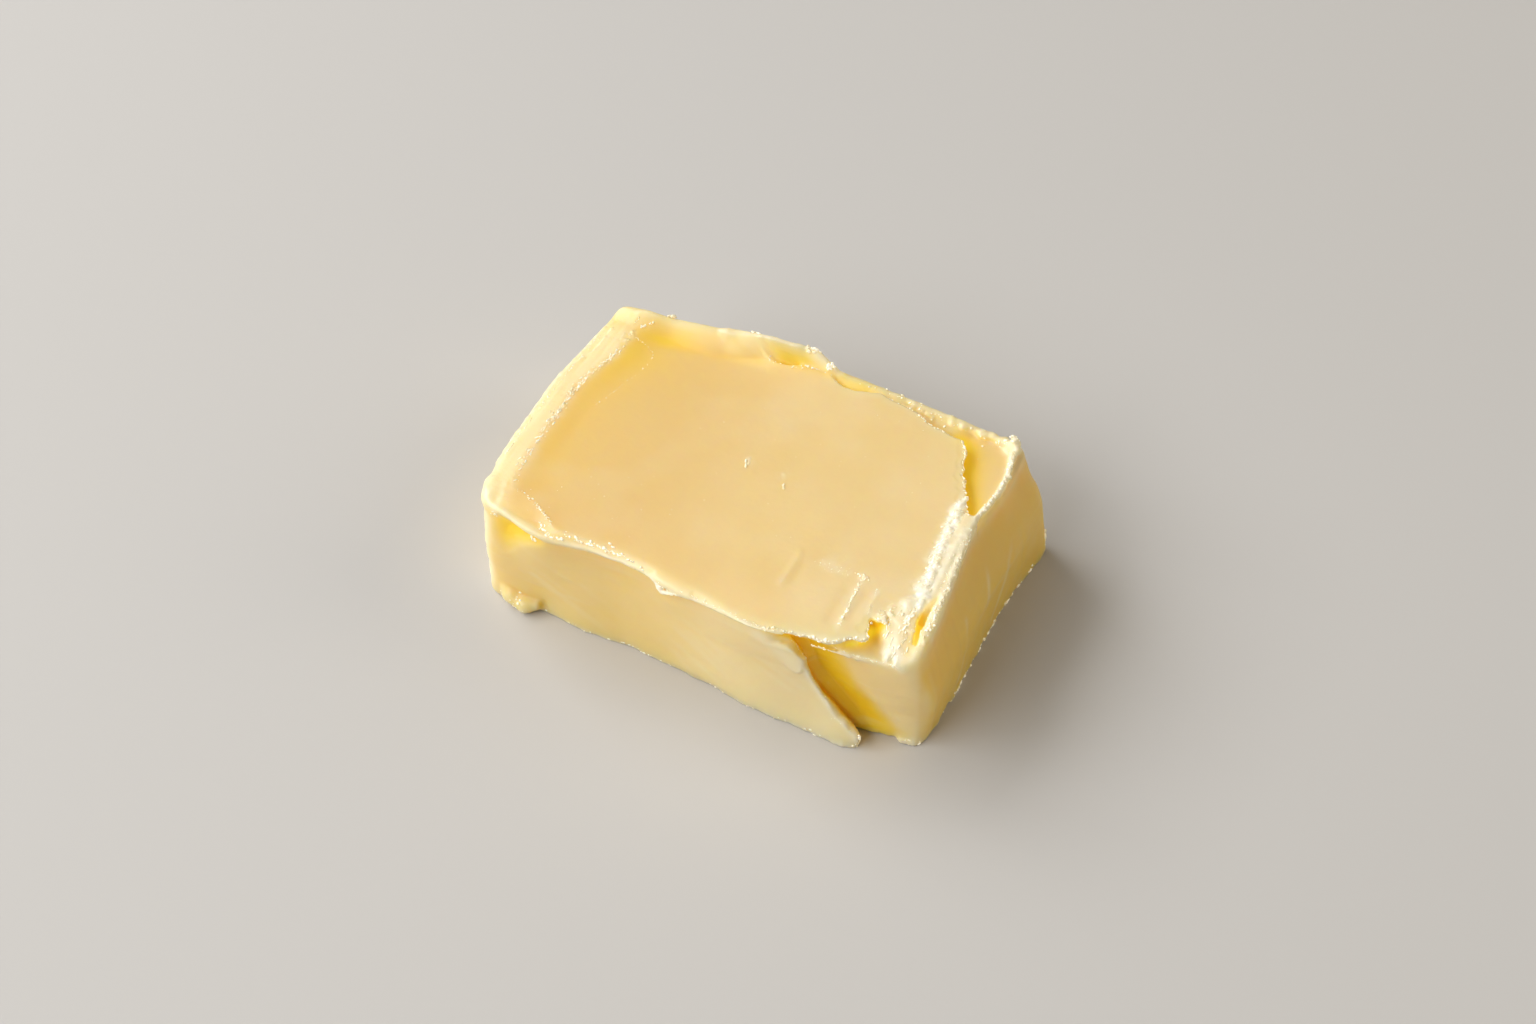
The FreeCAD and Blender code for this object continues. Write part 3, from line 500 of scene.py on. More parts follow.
# painted golden shade under the curl
rope(None, [(-1.8, 22.4, 18.6), (1.5, 21.9, 18.3), (5.0, 22.4, 18.2)], 0.3, 0.2, masks=((gold_shade, 0.55, 1.6),))
gold_shade_spots = [((-9.4, 21.9, 18.6), (-3.4, 22.5, 18.4), 1.5)]
for a, b, span in gold_shade_spots:
    rope(None, [a, b], [0.15, 0.15], 0.2, masks=((gold_shade, 0.7, span),))
rope(None, [(-10.6, 22.2, 19.2), (-5.0, 22.6, 19.3)], [0.3, 0.3], 0.2, masks=((gold_shade, 0.6, 1.9),))
# painted light on the ramp's end, against its shading
rope(None, [(-16.0, 21.4, 21.0), (-13.5, 21.3, 20.8), (-11.6, 21.0, 20.0)], [0.6, 0.6, 0.3], 0.2, masks=((pale_and_lit, 0.1, 2.6),))

# painted glow: spots made to glow without a lamp, standing in for light through thin butter
painted_glow = np.zeros_like(D)
rope(None, [(-4.6, -22.95, 17.2), (-3.8, -23.1, 16.95), (-1.8, -23.05, 17.6)], 0.2, 0.2, masks=((painted_glow, 0.55, 0.7),))
rope(None, [(-15.5, 19.8, 19.8), (-13.0, 19.9, 19.4), (-10.5, 20.2, 19.2)], 0.4, 0.2, masks=((painted_glow, 0.6, 1.8),))
rope(None, [(-3.8, 23.5, 20.6), (-2.2, 23.5, 19.8), (-0.6, 23.1, 18.9)], 0.3, 0.2, masks=((pale_and_lit, 0.3, 1.2), (painted_glow, 1.0, 1.8)))
rope(None, [(-1.6, 22.1, 18.7), (0.3, 21.2, 18.5), (3.2, 20.7, 18.5)], 0.2, 0.2, masks=((painted_glow, 0.8, 0.9),))
rope(None, [(-33.9, -20.4, 3.0), (-33.8, -20.3, 10.0), (-33.3, -20.4, 15.5)], 0.4, 0.2, masks=((painted_glow, 0.55, 2.2), (pale_and_lit, 0.5, 2.2)))
rope(None, [(-13.8, 21.6, 20.9), (-11.8, 21.5, 20.2), (-10.2, 21.1, 19.5)], 0.4, 0.2, masks=((painted_glow, 1.0, 2.2),))

# bubbles and small lumps on the back ledge
rng = np.random.default_rng(81)
for i in range(20):
    bx = rng.uniform(11, 27)
    by = rng.uniform(21.6, 22.9) - 0.03 * bx
    r = rng.uniform(0.16, 0.42)
    bz = float(np.interp(bx, [0, 18, 27], [18.0, 18.2, 18.3])) + rng.uniform(-0.15, 0.1)
    rope(D, [(bx, by, bz), (bx + rng.uniform(-0.5, 0.5), by + rng.uniform(-0.3, 0.3), bz)], [r, r * 0.8], 0.25)
pts, rad = beaded([(0.4, 22.9, 18.3), (3.8, 22.9, 18.2), (7.5, 23.0, 18.1), (11.8, 22.7, 18.0), (17, 22.2, 17.9), (22, 21.6, 17.9), (26.5, 21.0, 18.4)], 1.2, 0.5, 0.16, 82, wander=0.06)
rope(D, pts, rad, 0.9)
# low bead along the back ledge, with painted glow
rope(D, smooth_loop([(5.5, 22.5, 17.9), (7.2, 22.5, 17.95), (9.7, 21.9, 17.95), (12.3, 21.05, 17.95), (14.8, 20.3, 17.85)], 4, closed=False), 0.42, 0.7, masks=((painted_glow, 0.3, 0.8),))
# horn on the far corner
rope(D, [(27.5, 20.5, 18.0), (27.9, 20.4, 19.4), (27.8, 20.1, 20.4), (27.2, 20.2, 20.7)], [1.1, 0.75, 0.5, 0.28], 0.5, masks=((pale_and_lit, 0.7, 1.0),))
rope(D, [(27.9, 20.2, 19.2), (28.5, 19.3, 19.4)], [0.6, 0.5], 0.4)

# ------------------------------------------------------------------ ridge and torn band along the right end
ridge = [(27.9, 20.0, 18.7), (28.4, 17.6, 18.8), (28.9, 14.6, 18.75), (29.0, 12.1, 18.8), (28.8, 9.4, 18.8), (28.5, 7.3, 18.85), (28.2, 4.8, 18.95), (28.3, 2.0, 18.95),
         (28.7, -1.4, 18.9), (29.2, -4.7, 18.9), (29.5, -8.7, 18.8), (29.8, -12.5, 18.6), (30.0, -15.2, 18.1), (29.9, -17.3, 17.4), (29.5, -18.9, 16.7), (28.9, -19.8, 16.1)]
rope(D, *beaded(ridge, 0.9, 0.4, 0.14, 91, wander=0.06), 0.85, masks=((pale_and_lit, 0.5, 1.05),))
# painted light: the top of the end face paler just below the ridge
rope(None, [(a + 0.9, b, c - 0.8) for a, b, c in ridge], 0.3, 0.3, masks=((pale_and_lit, 0.14, 2.0),))
crisp = [(p[0] + 0.1, p[1], p[2] + 0.42) for p in ridge]
pts, rad = beaded(crisp, 0.45, 0.19, 0.5, 92, wander=0.14, drop=0.35)
rope(D, pts, rad, 0.2, masks=((pale_and_lit, 0.75, 0.8),))
# slope behind the near corner, filling the space between the torn band and the ridge
body_fill = [(27.3, 4.6, 18.6), (27.0, 0.0, 18.5), (27.4, -4.0, 18.4), (27.9, -8.0, 18.2)]
rope(D, smooth_loop(body_fill, 4, closed=False), 0.85, 0.9, masks=((pale_and_lit, 0.35, 1.6),))
# a smooth pale leaf lying between band and ridge
rope(D, smooth_loop([(27.9, 2.5, 19.0), (27.9, -1.5, 19.05), (28.1, -5.5, 18.95), (28.2, -9.4, 18.75), (27.9, -11.6, 18.6)], 4, closed=False), 0.5, 0.4, masks=((pale_and_lit, 0.8, 0.9),))

# torn band: many short feathery strokes
band_line = np.array([(25.0, 8.0), (25.3, 5.1), (25.8, 0.3), (26.1, -4.0), (26.6, -8.1), (27.4, -12.0)])
rng = np.random.default_rng(93)
for i in range(190):
    v = rng.uniform(-12.8, 7.6)
    u = float(np.interp(-v, -band_line[:, 1], band_line[:, 0]))
    off = rng.uniform(-0.35, 1.35 + 0.25 * math.sin(v * 0.9))
    zz = 18.95 + 0.28 * math.sin(min(max(off, 0), 1.7) / 1.7 * math.pi) + rng.uniform(-0.1, 0.12)
    ln = rng.uniform(0.6, 1.7)
    ang = math.radians(rng.uniform(222, 262)) if rng.random() < 0.85 else math.radians(rng.uniform(190, 290))
    a = np.array([u + off, v, zz])
    b = a + [ln * math.cos(ang), ln * math.sin(ang), rng.uniform(-0.22, 0.05)]
    rope(D, [a, (a + b) / 2 + [0, 0, 0.07], b], [rng.uniform(0.1, 0.15), rng.uniform(0.12, 0.18), 0.08], 0.18, masks=((pale_and_lit, 0.95, 0.55),))
pts, rad = beaded([(u, v, 19.1) for u, v in band_line + [0.5, 0]], 0.45, 0.3, 0.5, 94, wander=0.2, drop=0.2)
rope(D, pts, rad, 0.3, masks=((pale_and_lit, 0.9, 0.9),))

# second torn mound, between the notch and the slit, running down to the near corner
mound = [(25.9, -12.4, 18.7), (26.3, -14.4, 18.5), (26.7, -16.4, 18.0), (27.2, -17.9, 17.3), (28.0, -19.1, 16.5)]
rope(D, *beaded([(a + 0.2, b, c - 0.2) for a, b, c in mound], 0.7, 0.66, 0.14, 95, wander=0.08), 0.9, masks=((pale_and_lit, 0.75, 1.3),))
rope(D, [(a + 0.5, b + 0.4, c - 1.2) for a, b, c in mound], 1.0, 0.9)
for i in range(64):
    k = rng.uniform(0, 4)
    m = np.array([np.interp(k, range(5), [p[j] for p in mound]) for j in range(3)])
    a = m + [rng.uniform(-1.2, 1.0), rng.uniform(-0.5, 0.5), 0.42 + rng.uniform(-0.15, 0.15)]
    a[2] -= 0.45 * abs(a[0] - m[0])
    ang = math.radians(rng.uniform(250, 292))
    ln = rng.uniform(0.8, 2.0)
    b = a + [ln * math.cos(ang), ln * math.sin(ang), -0.36 * ln]
    rope(D, [a, b], [rng.uniform(0.12, 0.2), rng.uniform(0.09, 0.14)], 0.26, masks=((pale_and_lit, 0.95, 0.7),))

# sparkling edge of the near ledge, its beads painted pale as highlights
pts, rad = beaded([(16.8, -21.7, 15.75), (19.4, -21.4, 15.8), (22.4, -20.9, 15.8), (25.2, -20.3, 15.85), (27.6, -19.9, 15.9), (28.9, -19.6, 16.0)], 0.55, 0.2, 0.6, 96, wander=0.05, drop=0.2)
rad = rad * np.interp(pts[:, 0], [16.8, 20.5], [0.35, 1.0])
rope(D, pts, rad, 0.4, masks=((pale_and_lit, 0.5, 0.6),))

# a nick in the foot of the setback face
rope(D, [(29.1, -19.45, 0.35), (30.5, -18.95, 0.4)], [0.75, 0.85], 0.5, masks=((pale_and_lit, 0.3, 1.1),))
rope(D, [(26.6, -20.4, 0.0), (28.0, -20.15, 0.1)], [0.45, 0.7], 0.25, cut=True)

# near corner: soften the end of the ledge up to the ridge
rope(D, smooth_loop([(28.6, -19.1, 15.6), (29.5, -18.2, 16.2), (29.8, -16.8, 17.0)], 4, closed=False), 0.8, 0.9, masks=((pale_and_lit, 0.3, 1.2),))

# slit between mound and ridge, with painted golden shade in it
slit = [(29.2, -9.9, 19.2), (28.8, -11.8, 18.7), (28.7, -13.6, 18.3), (28.9, -15.4, 17.9), (29.3, -17.4, 17.4)]
pts = smooth_loop(slit, 4, closed=False)
rope(D, pts, np.interp(np.arange(len(pts)), [0, 4, 10, len(pts) - 1], [0.2, 0.48, 0.55, 0.3]), 0.25, cut=True, masks=((gold_shade, 0.78, 1.1),))
rope(D, pts + [0, 0, 0.8], np.interp(np.arange(len(pts)), [0, 4, 10, len(pts) - 1], [0.24, 0.52, 0.6, 0.34]), 0.2, cut=True)
# pale flap edge as painted highlight; below it a fine groove with painted golden shade
rope(None, [(10.5, -24.4, 18.6), (13.8, -23.5, 18.5), (17.8, -22.7, 18.5), (21.1, -21.6, 18.5), (23.4, -19.9, 18.5)], 0.15, 0.2, masks=((pale_and_lit, 0.55, 0.75),))
rope(D, [(10.3, -24.35, 18.25), (11.8, -24.3, 18.27), (13.4, -24.0, 18.2), (15.0, -23.5, 17.98), (16.2, -23.0, 17.8)], [0.1, 0.2, 0.26, 0.28, 0.28], 0.2, cut=True, masks=((gold_shade, 0.85, 0.7),))
win = window((9.6, -25.0, 17.4), (17.0, -22.4, 18.4))
pale_and_lit[win] *= 1 - 0.85 * np.clip(gold_shade[win], 0, 1)
# torn scraps on the skin by the notch
rng = np.random.default_rng(97)
for i in range(11):
    a = np.array([rng.uniform(23.2, 25.2), rng.uniform(-17.6, -14.8), 19.1])
    b = a + [rng.uniform(-0.7, 0.7), rng.uniform(-0.9, 0.4), rng.uniform(-0.1, 0.2)]
    rope(D, [a, b], [rng.uniform(0.1, 0.18), 0.08], 0.28, masks=((pale_and_lit, 0.7, 0.5),))

# painted golden shade in the hollows under the skin's edge
for line, span, strength in (
    ([(20.6, 18.9, 17.8), (22.0, 17.4, 17.3), (23.4, 14.0, 17.0), (24.6, 11.0, 16.9), (26.3, 8.0, 17.1), (27.3, 5.6, 17.6)], 2.6, 1.0),
    ([(12.2, -22.4, 17.3), (16.0, -21.4, 16.9), (20.0, -20.4, 16.9), (22.4, -19.0, 16.9), (23.0, -17.6, 17.2), (23.4, -16.8, 17.8)], 1.3, 0.9),
    ([(22.6, -18.8, 17.6), (23.1, -17.2, 17.8), (23.7, -16.6, 17.9)], 1.7, 0.9),
):
    pts = smooth_loop(line, 4, closed=False)
    rope(None, pts, np.full(len(pts), 0.1), 0.2, masks=((gold_shade, strength, span),))
rope(None, [(-11.7, 20.9, 19.4), (-11.2, 22.4, 19.4)], 0.25, 0.2, masks=((gold_shade, 0.5, 1.1),))
# painted golden shade by the back curl and in the far notch
honey_shade_patch = np.zeros_like(D)
rope(None, [(-15.6, 20.9, 20.2), (-12.2, 20.9, 19.6)], 0.4, 0.2, masks=((honey_shade_patch, 0.18, 2.4),))
rope(None, [(22.5, 18.5, 17.4), (25.5, 13.0, 17.4), (27.6, 8.5, 17.8)], 0.4, 0.2, masks=((honey_shade_patch, 0.18, 3.6),))
# near-vertical scratches on the right end, faint drags on the front
for line in (((32.9, 8.0, 9.0), (32.9, 3.0, 3.0)), ((31.9, -6.0, 12.0), (32.6, -9.0, 3.0)), ((32.6, 10.5, 12.5), (32.9, 8.0, 9.5)), ((31.6, 3.5, 14.5), (32.4, 1.0, 8.0))):
    rope(None, line, 0.12, 0.2, masks=((pale_and_lit, 0.6, 0.45),))
rng = np.random.default_rng(98)
for i in range(26):
    sx, sz = rng.uniform(-28, 14), rng.uniform(6, 16)
    ln = rng.uniform(4, 11)
    yy = float(np.interp(sx, [-30, 0, 20], [-21.4, -22.6, -23.1]))
    line = np.array([(sx, yy, sz), (sx + ln, yy - 0.3, max(sz - 0.55 * ln, 1.0))])
    rope(None, line, 0.1, 0.2, masks=((pale_and_lit, rng.uniform(0.12, 0.32), 0.5),))

# ------------------------------------------------------------------ strokes the knife left on the skin
def stroke(points, r, seed, strength, squash=0.8, spacing=0.4, jitter=0.35, wander=0.05, drop=0.1):
    p, rr = beaded(points, spacing, r, jitter, seed, wander, drop)
    taper = np.minimum(1, np.minimum(np.arange(len(p)) + 1, np.arange(len(p))[::-1] + 1) / 3)
    rope(D, p, rr * taper, 0.16, flat=squash, masks=((pale_and_lit, strength, 0.5),))


stroke([(19.0, -10.4, 19.02), (19.15, -12.8, 19.02), (19.35, -15.0, 19.05), (19.5, -17.4, 19.02), (19.55, -20.4, 18.98)], 0.14, 101, 0.8)
stroke([(18.7, -10.5, 19.15), (19.6, -10.9, 19.2)], 0.26, 102, 0.95)
stroke([(18.5, -10.9, 19.1), (19.1, -11.5, 19.15)], 0.2, 103, 0.9)
stroke([(21.6, -11.9, 19.0), (21.8, -13.6, 19.0)], 0.15, 104, 0.7)
stroke([(22.0, -14.6, 19.0), (22.2, -16.4, 19.0)], 0.15, 105, 0.7)
for i, (a0, b0, c0) in enumerate(((12.9, -10.9, 0.9), (13.6, -10.7, 1.4), (14.3, -10.9, 1.5), (15.1, -11.0, 1.3), (15.9, -11.2, 1.1), (17.0, -11.0, 1.2))):
    stroke([(a0 + 0.25, b0 + c0 * 0.5, 18.98), (a0, b0 - c0 * 0.5, 18.98)], 0.14, 110 + i, 0.7, drop=0)
for a, b, r in (((-3.95, 1.9, 19.1), (-3.5, 1.0, 19.16), 0.15), ((1.6, 1.4, 19.07), (1.9, 0.8, 19.1), 0.12), ((24.1, -13.4, 19.0), (24.6, -15.0, 19.0), 0.14)):
    rope(D, [a, b], [r, r * 0.6], 0.1, flat=0.8, masks=((pale_and_lit, 0.95, 0.42),))
print("features", round(time.time() - T0, 1))

# ------------------------------------------------------------------ surface life: ragged foot, torn-band grain, drag lines
near = pale_and_lit.copy()
grain = noise3(121, 0.55)
D += -0.05 * grain * np.clip(near - 0.45, 0, 0.5) / 0.5
foot_w = step01((1.6 - Z) / 1.6)
D += (0.10 * noise3(122, 1.3) * foot_w + 0.05 * grain * foot_w * step01((X - 0) / 20)).astype(F)
D += 0.022 * noise3(123, (2.2, 2.2, 0.9)) * (step01((18.5 - Z) / 3.0))
# vertical drag lines on the right end, long fine streaks on the front
D += 0.020 * noise3(124, (3.0, 0.7, 9.0)) * step01((X - 26) / 4)
D += 0.016 * noise3(125, (9.0, 3.0, 0.9)) * step01((-17 - Y) / 3) * step01((17 - Z) / 3)
# flat underside
D = smax(D, -Z, 0.35)
print("field", round(time.time() - T0, 1))

# ------------------------------------------------------------------ mesh of the field
def surface_nets(field):
    inside = field < 0
    total = np.zeros(tuple(n - 1 for n in field.shape), np.uint8)
    for a in (0, 1):
        for b in (0, 1):
            for c in (0, 1):
                total += inside[a : field.shape[0] - 1 + a, b : field.shape[1] - 1 + b, c : field.shape[2] - 1 + c]
    active = (total > 0) & (total < 8)
    del total
    idx = np.argwhere(active).astype(np.int32)
    ids = np.full(active.shape, -1, np.int32)
    ids[active] = np.arange(len(idx), dtype=np.int32)
    acc = np.zeros((len(idx), 3), F)
    cnt = np.zeros(len(idx), F)
    corners = [(a, b, c) for a in (0, 1) for b in (0, 1) for c in (0, 1)]
    value = {c: field[idx[:, 0] + c[0], idx[:, 1] + c[1], idx[:, 2] + c[2]] for c in corners}
    for c in corners:
        for axis in range(3):
            if c[axis]:
                continue
            d = list(c)
            d[axis] = 1
            va, vb = value[c], value[tuple(d)]
            cross = (va < 0) != (vb < 0)
            t = np.where(cross, va / np.where(cross, va - vb, 1), 0)
            for m in range(3):
                acc[:, m] += cross * (c[m] + (t if m == axis else 0))
            cnt += cross
    verts = LO + (idx + acc / cnt[:, None]) * PITCH
    quads = []
    for axis in range(3):
        u, v = (axis + 1) % 3, (axis + 2) % 3
        lo = [slice(None)] * 3
        hi = [slice(None)] * 3
        lo[axis], hi[axis] = slice(0, -1), slice(1, None)
        flip = inside[tuple(lo)] != inside[tuple(hi)]
        e = np.argwhere(flip)
        ok = (e[:, u] > 0) & (e[:, v] > 0) & (e[:, u] < field.shape[u] - 1) & (e[:, v] < field.shape[v] - 1)
        e = e[ok]
        start = inside[e[:, 0], e[:, 1], e[:, 2]]
        ring = []
        for du, dv in ((-1, -1), (0, -1), (0, 0), (-1, 0)):
            q = e.copy()
            q[:, u] += du
            q[:, v] += dv
            ring.append(ids[q[:, 0], q[:, 1], q[:, 2]])
        ring = np.stack(ring, 1)
        ring[~start] = ring[~start][:, ::-1]
        quads.append(ring)
    return verts, np.concatenate(quads)


def sample(field, p):
    u = (p - LO) / PITCH
    i = np.clip(np.floor(u).astype(int), 0, np.array(field.shape) - 2)
    f = (u - i).astype(F)
    out = np.zeros(len(p), F)
    for a in (0, 1):
        for b in (0, 1):
            for c in (0, 1):
                w = (f[:, 0] if a else 1 - f[:, 0]) * (f[:, 1] if b else 1 - f[:, 1]) * (f[:, 2] if c else 1 - f[:, 2])
                out += w * field[i[:, 0] + a, i[:, 1] + b, i[:, 2] + c]
    return out


def gradient(field, p, step):
    g = np.zeros((len(p), 3), F)
    for axis in range(3):
        d = np.zeros(3)
        d[axis] = step
        g[:, axis] = (sample(field, p + d) - sample(field, p - d)) / (2 * step)
    return g


def largest_part(verts, quads):
    label = np.arange(len(verts))
    edges = np.concatenate([quads[:, [0, 1]], quads[:, [1, 2]], quads[:, [2, 3]]])
    while True:
        low_label = np.minimum(label[edges[:, 0]], label[edges[:, 1]])
        new = label.copy()
        np.minimum.at(new, edges[:, 0], low_label)
        np.minimum.at(new, edges[:, 1], low_label)
        new = new[new]
        new = new[new]
        if np.array_equal(new, label):
            break
        label = new
    names, sizes = np.unique(label, return_counts=True)
    keep = label == names[np.argmax(sizes)]
    renumber = np.cumsum(keep) - 1
    print("parts", len(names), "kept", int(keep.sum()), "of", len(verts))
    return verts[keep], renumber[quads[keep[quads[:, 0]]]]


verts, quads = surface_nets(D)
verts, quads = largest_part(verts, quads)
for _ in range(2):
    g = gradient(D, verts, PITCH * 0.6)
    length = np.maximum(np.linalg.norm(g, axis=1), 0.25)
    move = np.clip(sample(D, verts) / length, -0.35 * PITCH, 0.35 * PITCH)
    verts = verts - g * (move / length)[:, None]
verts[:, 2] = np.maximum(verts[:, 2], 0)
print("meshed", len(verts), len(quads), round(time.time() - T0, 1))


def mesh_from(name, v, polys):
    mesh = bpy.data.meshes.new(name)
    mesh.vertices.add(len(v))
    mesh.vertices.foreach_set("co", np.asarray(v, F).ravel())
    k = polys.shape[1]
    mesh.loops.add(polys.size)
    mesh.loops.foreach_set("vertex_index", polys.astype(np.int32).ravel())
    mesh.polygons.add(len(polys))
    mesh.polygons.foreach_set("loop_start", np.arange(0, polys.size, k, dtype=np.int32))
    mesh.update(calc_edges=True)
    mesh.validate()
    return mesh


def to_row(v):
    return (v + SHIFT) / 1000.0


mesh = mesh_from("butter_skin", to_row(verts), quads)
butter = bpy.data.objects.new("butter_skin", mesh)
bpy.context.scene.collection.objects.link(butter)
triangles = 2 * len(quads)
if triangles > FACE_LIMIT:
    mod = butter.modifiers.new("thin", "DECIMATE")
    mod.ratio = FACE_LIMIT / triangles
    bpy.context.view_layer.update()
    thin = bpy.data.meshes.new_from_object(butter.evaluated_get(bpy.context.evaluated_depsgraph_get()))
    butter.modifiers.clear()
    butter.data = thin
    bpy.data.meshes.remove(mesh)
    mesh = thin
    mesh.name = "butter_skin"
mesh.polygons.foreach_set("use_smooth", np.ones(len(mesh.polygons), bool))
print("thinned", len(mesh.vertices), len(mesh.polygons), round(time.time() - T0, 1))

# ------------------------------------------------------------------ masks carried on the mesh
co = np.zeros(len(mesh.vertices) * 3, F)
mesh.vertices.foreach_get("co", co)
p = co.reshape(-1, 3).astype(float) * 1000 - SHIFT
clipped = np.clip(D, -3, 3)
fine_bend = sample(blur(clipped, 0.5), p) - sample(clipped, p)
wide_bend = sample(blur(clipped, 1.6), p) - sample(clipped, p)
gold_shade_soft = sample(blur(gold_shade, 0.35), p)
# painted golden shade in the trough beside the rim and in the dip, and painted golden light on the rim band
honey_shade_y = hermite(AX[1], [(-19, 0.15), (-12, 0.30), (-4, 0.32), (4, 0.38), (9, 0.5), (14, 0.6), (18, 0.45), (21, 0.2)])[None, :]
honey_shade = 1.25 * honey_shade_y * step01((t + 0.4) / 2.0) * np.exp(-np.maximum(t - 2.8, 0) / 4.4)
honey_shade = np.maximum(honey_shade, 0.42 * step01((0.6 - t) / 1.2) + 0 * Y2)
honey_shade = np.maximum(honey_shade, 1.0 * dip)
cell = np.clip(((p[:, :2] - LO[:2]) / PITCH).astype(int), 0, np.array(honey_shade.shape) - 1)
honey_shade_soft = blur(honey_shade.astype(F), 0.4)[cell[:, 0], cell[:, 1]] * step01((p[:, 2] - 17.2) / 1.2)
honey_shade_soft = np.maximum(honey_shade_soft, sample(honey_shade_patch, p))
# painted light on the rim band, weaker towards the back
rim_painted_light = (0.48 * step01((0.5 - t) / 1.2) * (1 - 0.6 * step01((Y2 - 16) / 3))).astype(F)
pale_and_lit_soft = np.maximum(sample(blur(pale_and_lit, 0.2), p), rim_painted_light[cell[:, 0], cell[:, 1]] * step01((p[:, 2] - 16.5) / 1.5))
normal = gradient(D, p, PITCH)
normal /= np.maximum(np.linalg.norm(normal, axis=1, keepdims=True), 1e-6)


def attribute(name, values):
    a = mesh.attributes.new(name, "FLOAT", "POINT")
    a.data.foreach_set("value", np.asarray(values, F))


# painted golden shade in concave places
attribute("hollow_shade", np.clip(-fine_bend * 3.0, 0, 1) * 0.5 + np.clip(-wide_bend * 1.6, 0, 1) * 0.7)
# painted highlight: convex crests lighter and glossier
attribute("crest", np.clip(fine_bend * 4.0 - 0.12, 0, 1))
attribute("gold_shade", np.clip(gold_shade_soft, 0, 1))
right_notch = step01((p[:, 0] - 18) / 2) * step01((p[:, 1] - 3) / 2)
under_flap = step01((p[:, 2] - 15.2) / 1.0) * (p[:, 1] < -14) * step01((p[:, 0] - 8) / 4)
in_slit = (p[:, 0] > 27.6) * (p[:, 1] < -8) * (p[:, 1] > -19)
# painted glow in the hollows: how strongly each region glows
seep_glow = (0.36 - 0.2 * step01((8 - p[:, 2]) / 6)) * (p[:, 0] > 0) * (p[:, 1] < 0) + 0.45 * (p[:, 1] > 0) * (p[:, 0] < 18)
seep_glow = np.maximum(np.maximum(seep_glow, 1.1 * right_notch), np.maximum((1.7 + 0.9 * (p[:, 0] > 21)) * under_flap, (0.16 + 0.7 * step01((p[:, 1] + 15.5) / 2.5)) * in_slit))
# painted glow along the rim band
rim_painted_glow = (0.22 * step01((0.4 - t) / 1.2) * (1 - step01((Y2 - 15) / 3))).astype(F)[cell[:, 0], cell[:, 1]] * step01((p[:, 2] - 17.5) / 1.0)
attribute("painted_glow", np.maximum(sample(painted_glow, p), rim_painted_glow))
seep_glow = np.maximum(seep_glow, 0.6 * (p[:, 0] < -21) * (p[:, 1] < -18.5))
# painted shade: the notch floor darker
attribute("notch_floor_shade", 0.9 * step01((p[:, 0] - 19) / 2) * step01((p[:, 1] - 4) / 2) * step01((18.9 - p[:, 2]) / 0.6) * step01((normal[:, 2] - 0.5) / 0.3) * (1 - np.clip(gold_shade_soft, 0, 1)))
in_groove = (p[:, 0] > 10) * step01((-16 - p[:, 1]) / 2) * step01((15.8 - p[:, 2]) / 1.5)
# painted glow tint, more lemon in some hollows
attribute("glow_lemon", np.maximum(np.maximum(0.42 * under_flap * step01((p[:, 0] - 19) / 3), 0.55 * in_slit * step01((p[:, 1] + 15.0) / 2.0)), np.maximum(np.maximum(0.8 * (p[:, 1] > 10) * (p[:, 0] < 12), 0.12 * right_notch), 0.35 * in_groove)))
# painted deep gold shade in the front groove
attribute("amber_shade", np.clip(gold_shade_soft, 0, 1) * in_groove)
attribute("seep_glow", np.clip(gold_shade_soft, 0, 1) ** 1.5 * seep_glow)
attribute("honey_shade", np.clip(honey_shade_soft, 0, 1))
attribute("pale_and_lit", np.clip(pale_and_lit_soft * 1.1, 0, 1))
# painted glints: the whitest torn edges go whiter still
attribute("white_and_glint", 0.85 * step01((pale_and_lit_soft - 0.58) / 0.32))
# painted shade: the right end face deeper in colour
side_end_shade = step01((normal[:, 0] - 0.35) / 0.4) * step01((18.6 - p[:, 2]) / 2.4)
attribute("end_shade", side_end_shade)
# painted sheen: the front paler towards the right, the top a little paler towards the right
attribute("cream_sheen", (1 - (0.85 - 0.45 * step01((p[:, 0] - 23) / 6)) * step01((p[:, 1] + 21.9) / 0.8) * (p[:, 0] > 15)) * 0.36 * step01((-normal[:, 1] - 0.4) / 0.4) * step01((p[:, 0] + 14) / 32) + 0.12 * step01((normal[:, 2] - 0.6) / 0.3) * step01((p[:, 0] - 4) / 22))
# painted shade: the top darker towards the left
attribute("left", step01((6 - p[:, 0]) / 26) * step01((p[:, 2] - 17.2) / 1.2) * step01((normal[:, 2] - 0.6) / 0.3) * step01((sample(np.broadcast_to(t[:, :, None], D.shape), p) - 0.5) / 2.0))
# painted sheen: the top skin paler than the sides
attribute("top_sheen", step01((normal[:, 2] - 0.6) / 0.3) * step01((p[:, 2] - 17.9) / 0.7))
print("masks", round(time.time() - T0, 1))

# ------------------------------------------------------------------ material
mat = bpy.data.materials.new("butter")
mat.use_nodes = True
nt = mat.node_tree
nodes, links = nt.nodes, nt.links
nodes.clear()
out = nodes.new("ShaderNodeOutputMaterial")
bsdf = nodes.new("ShaderNodeBsdfPrincipled")
links.new(bsdf.outputs[0], out.inputs[0])


def attr(name):
    n = nodes.new("ShaderNodeAttribute")
    n.attribute_name = name
    return n.outputs["Fac"]


def noise(scale, detail=3.0, rough=0.5, vector=None, kind="ShaderNodeTexNoise"):
    n = nodes.new(kind)
    n.inputs["Scale"].default_value = scale
    if "Detail" in n.inputs:
        n.inputs["Detail"].default_value = detail
        n.inputs["Roughness"].default_value = rough
    links.new(vector or coords, n.inputs["Vector"])
    return n


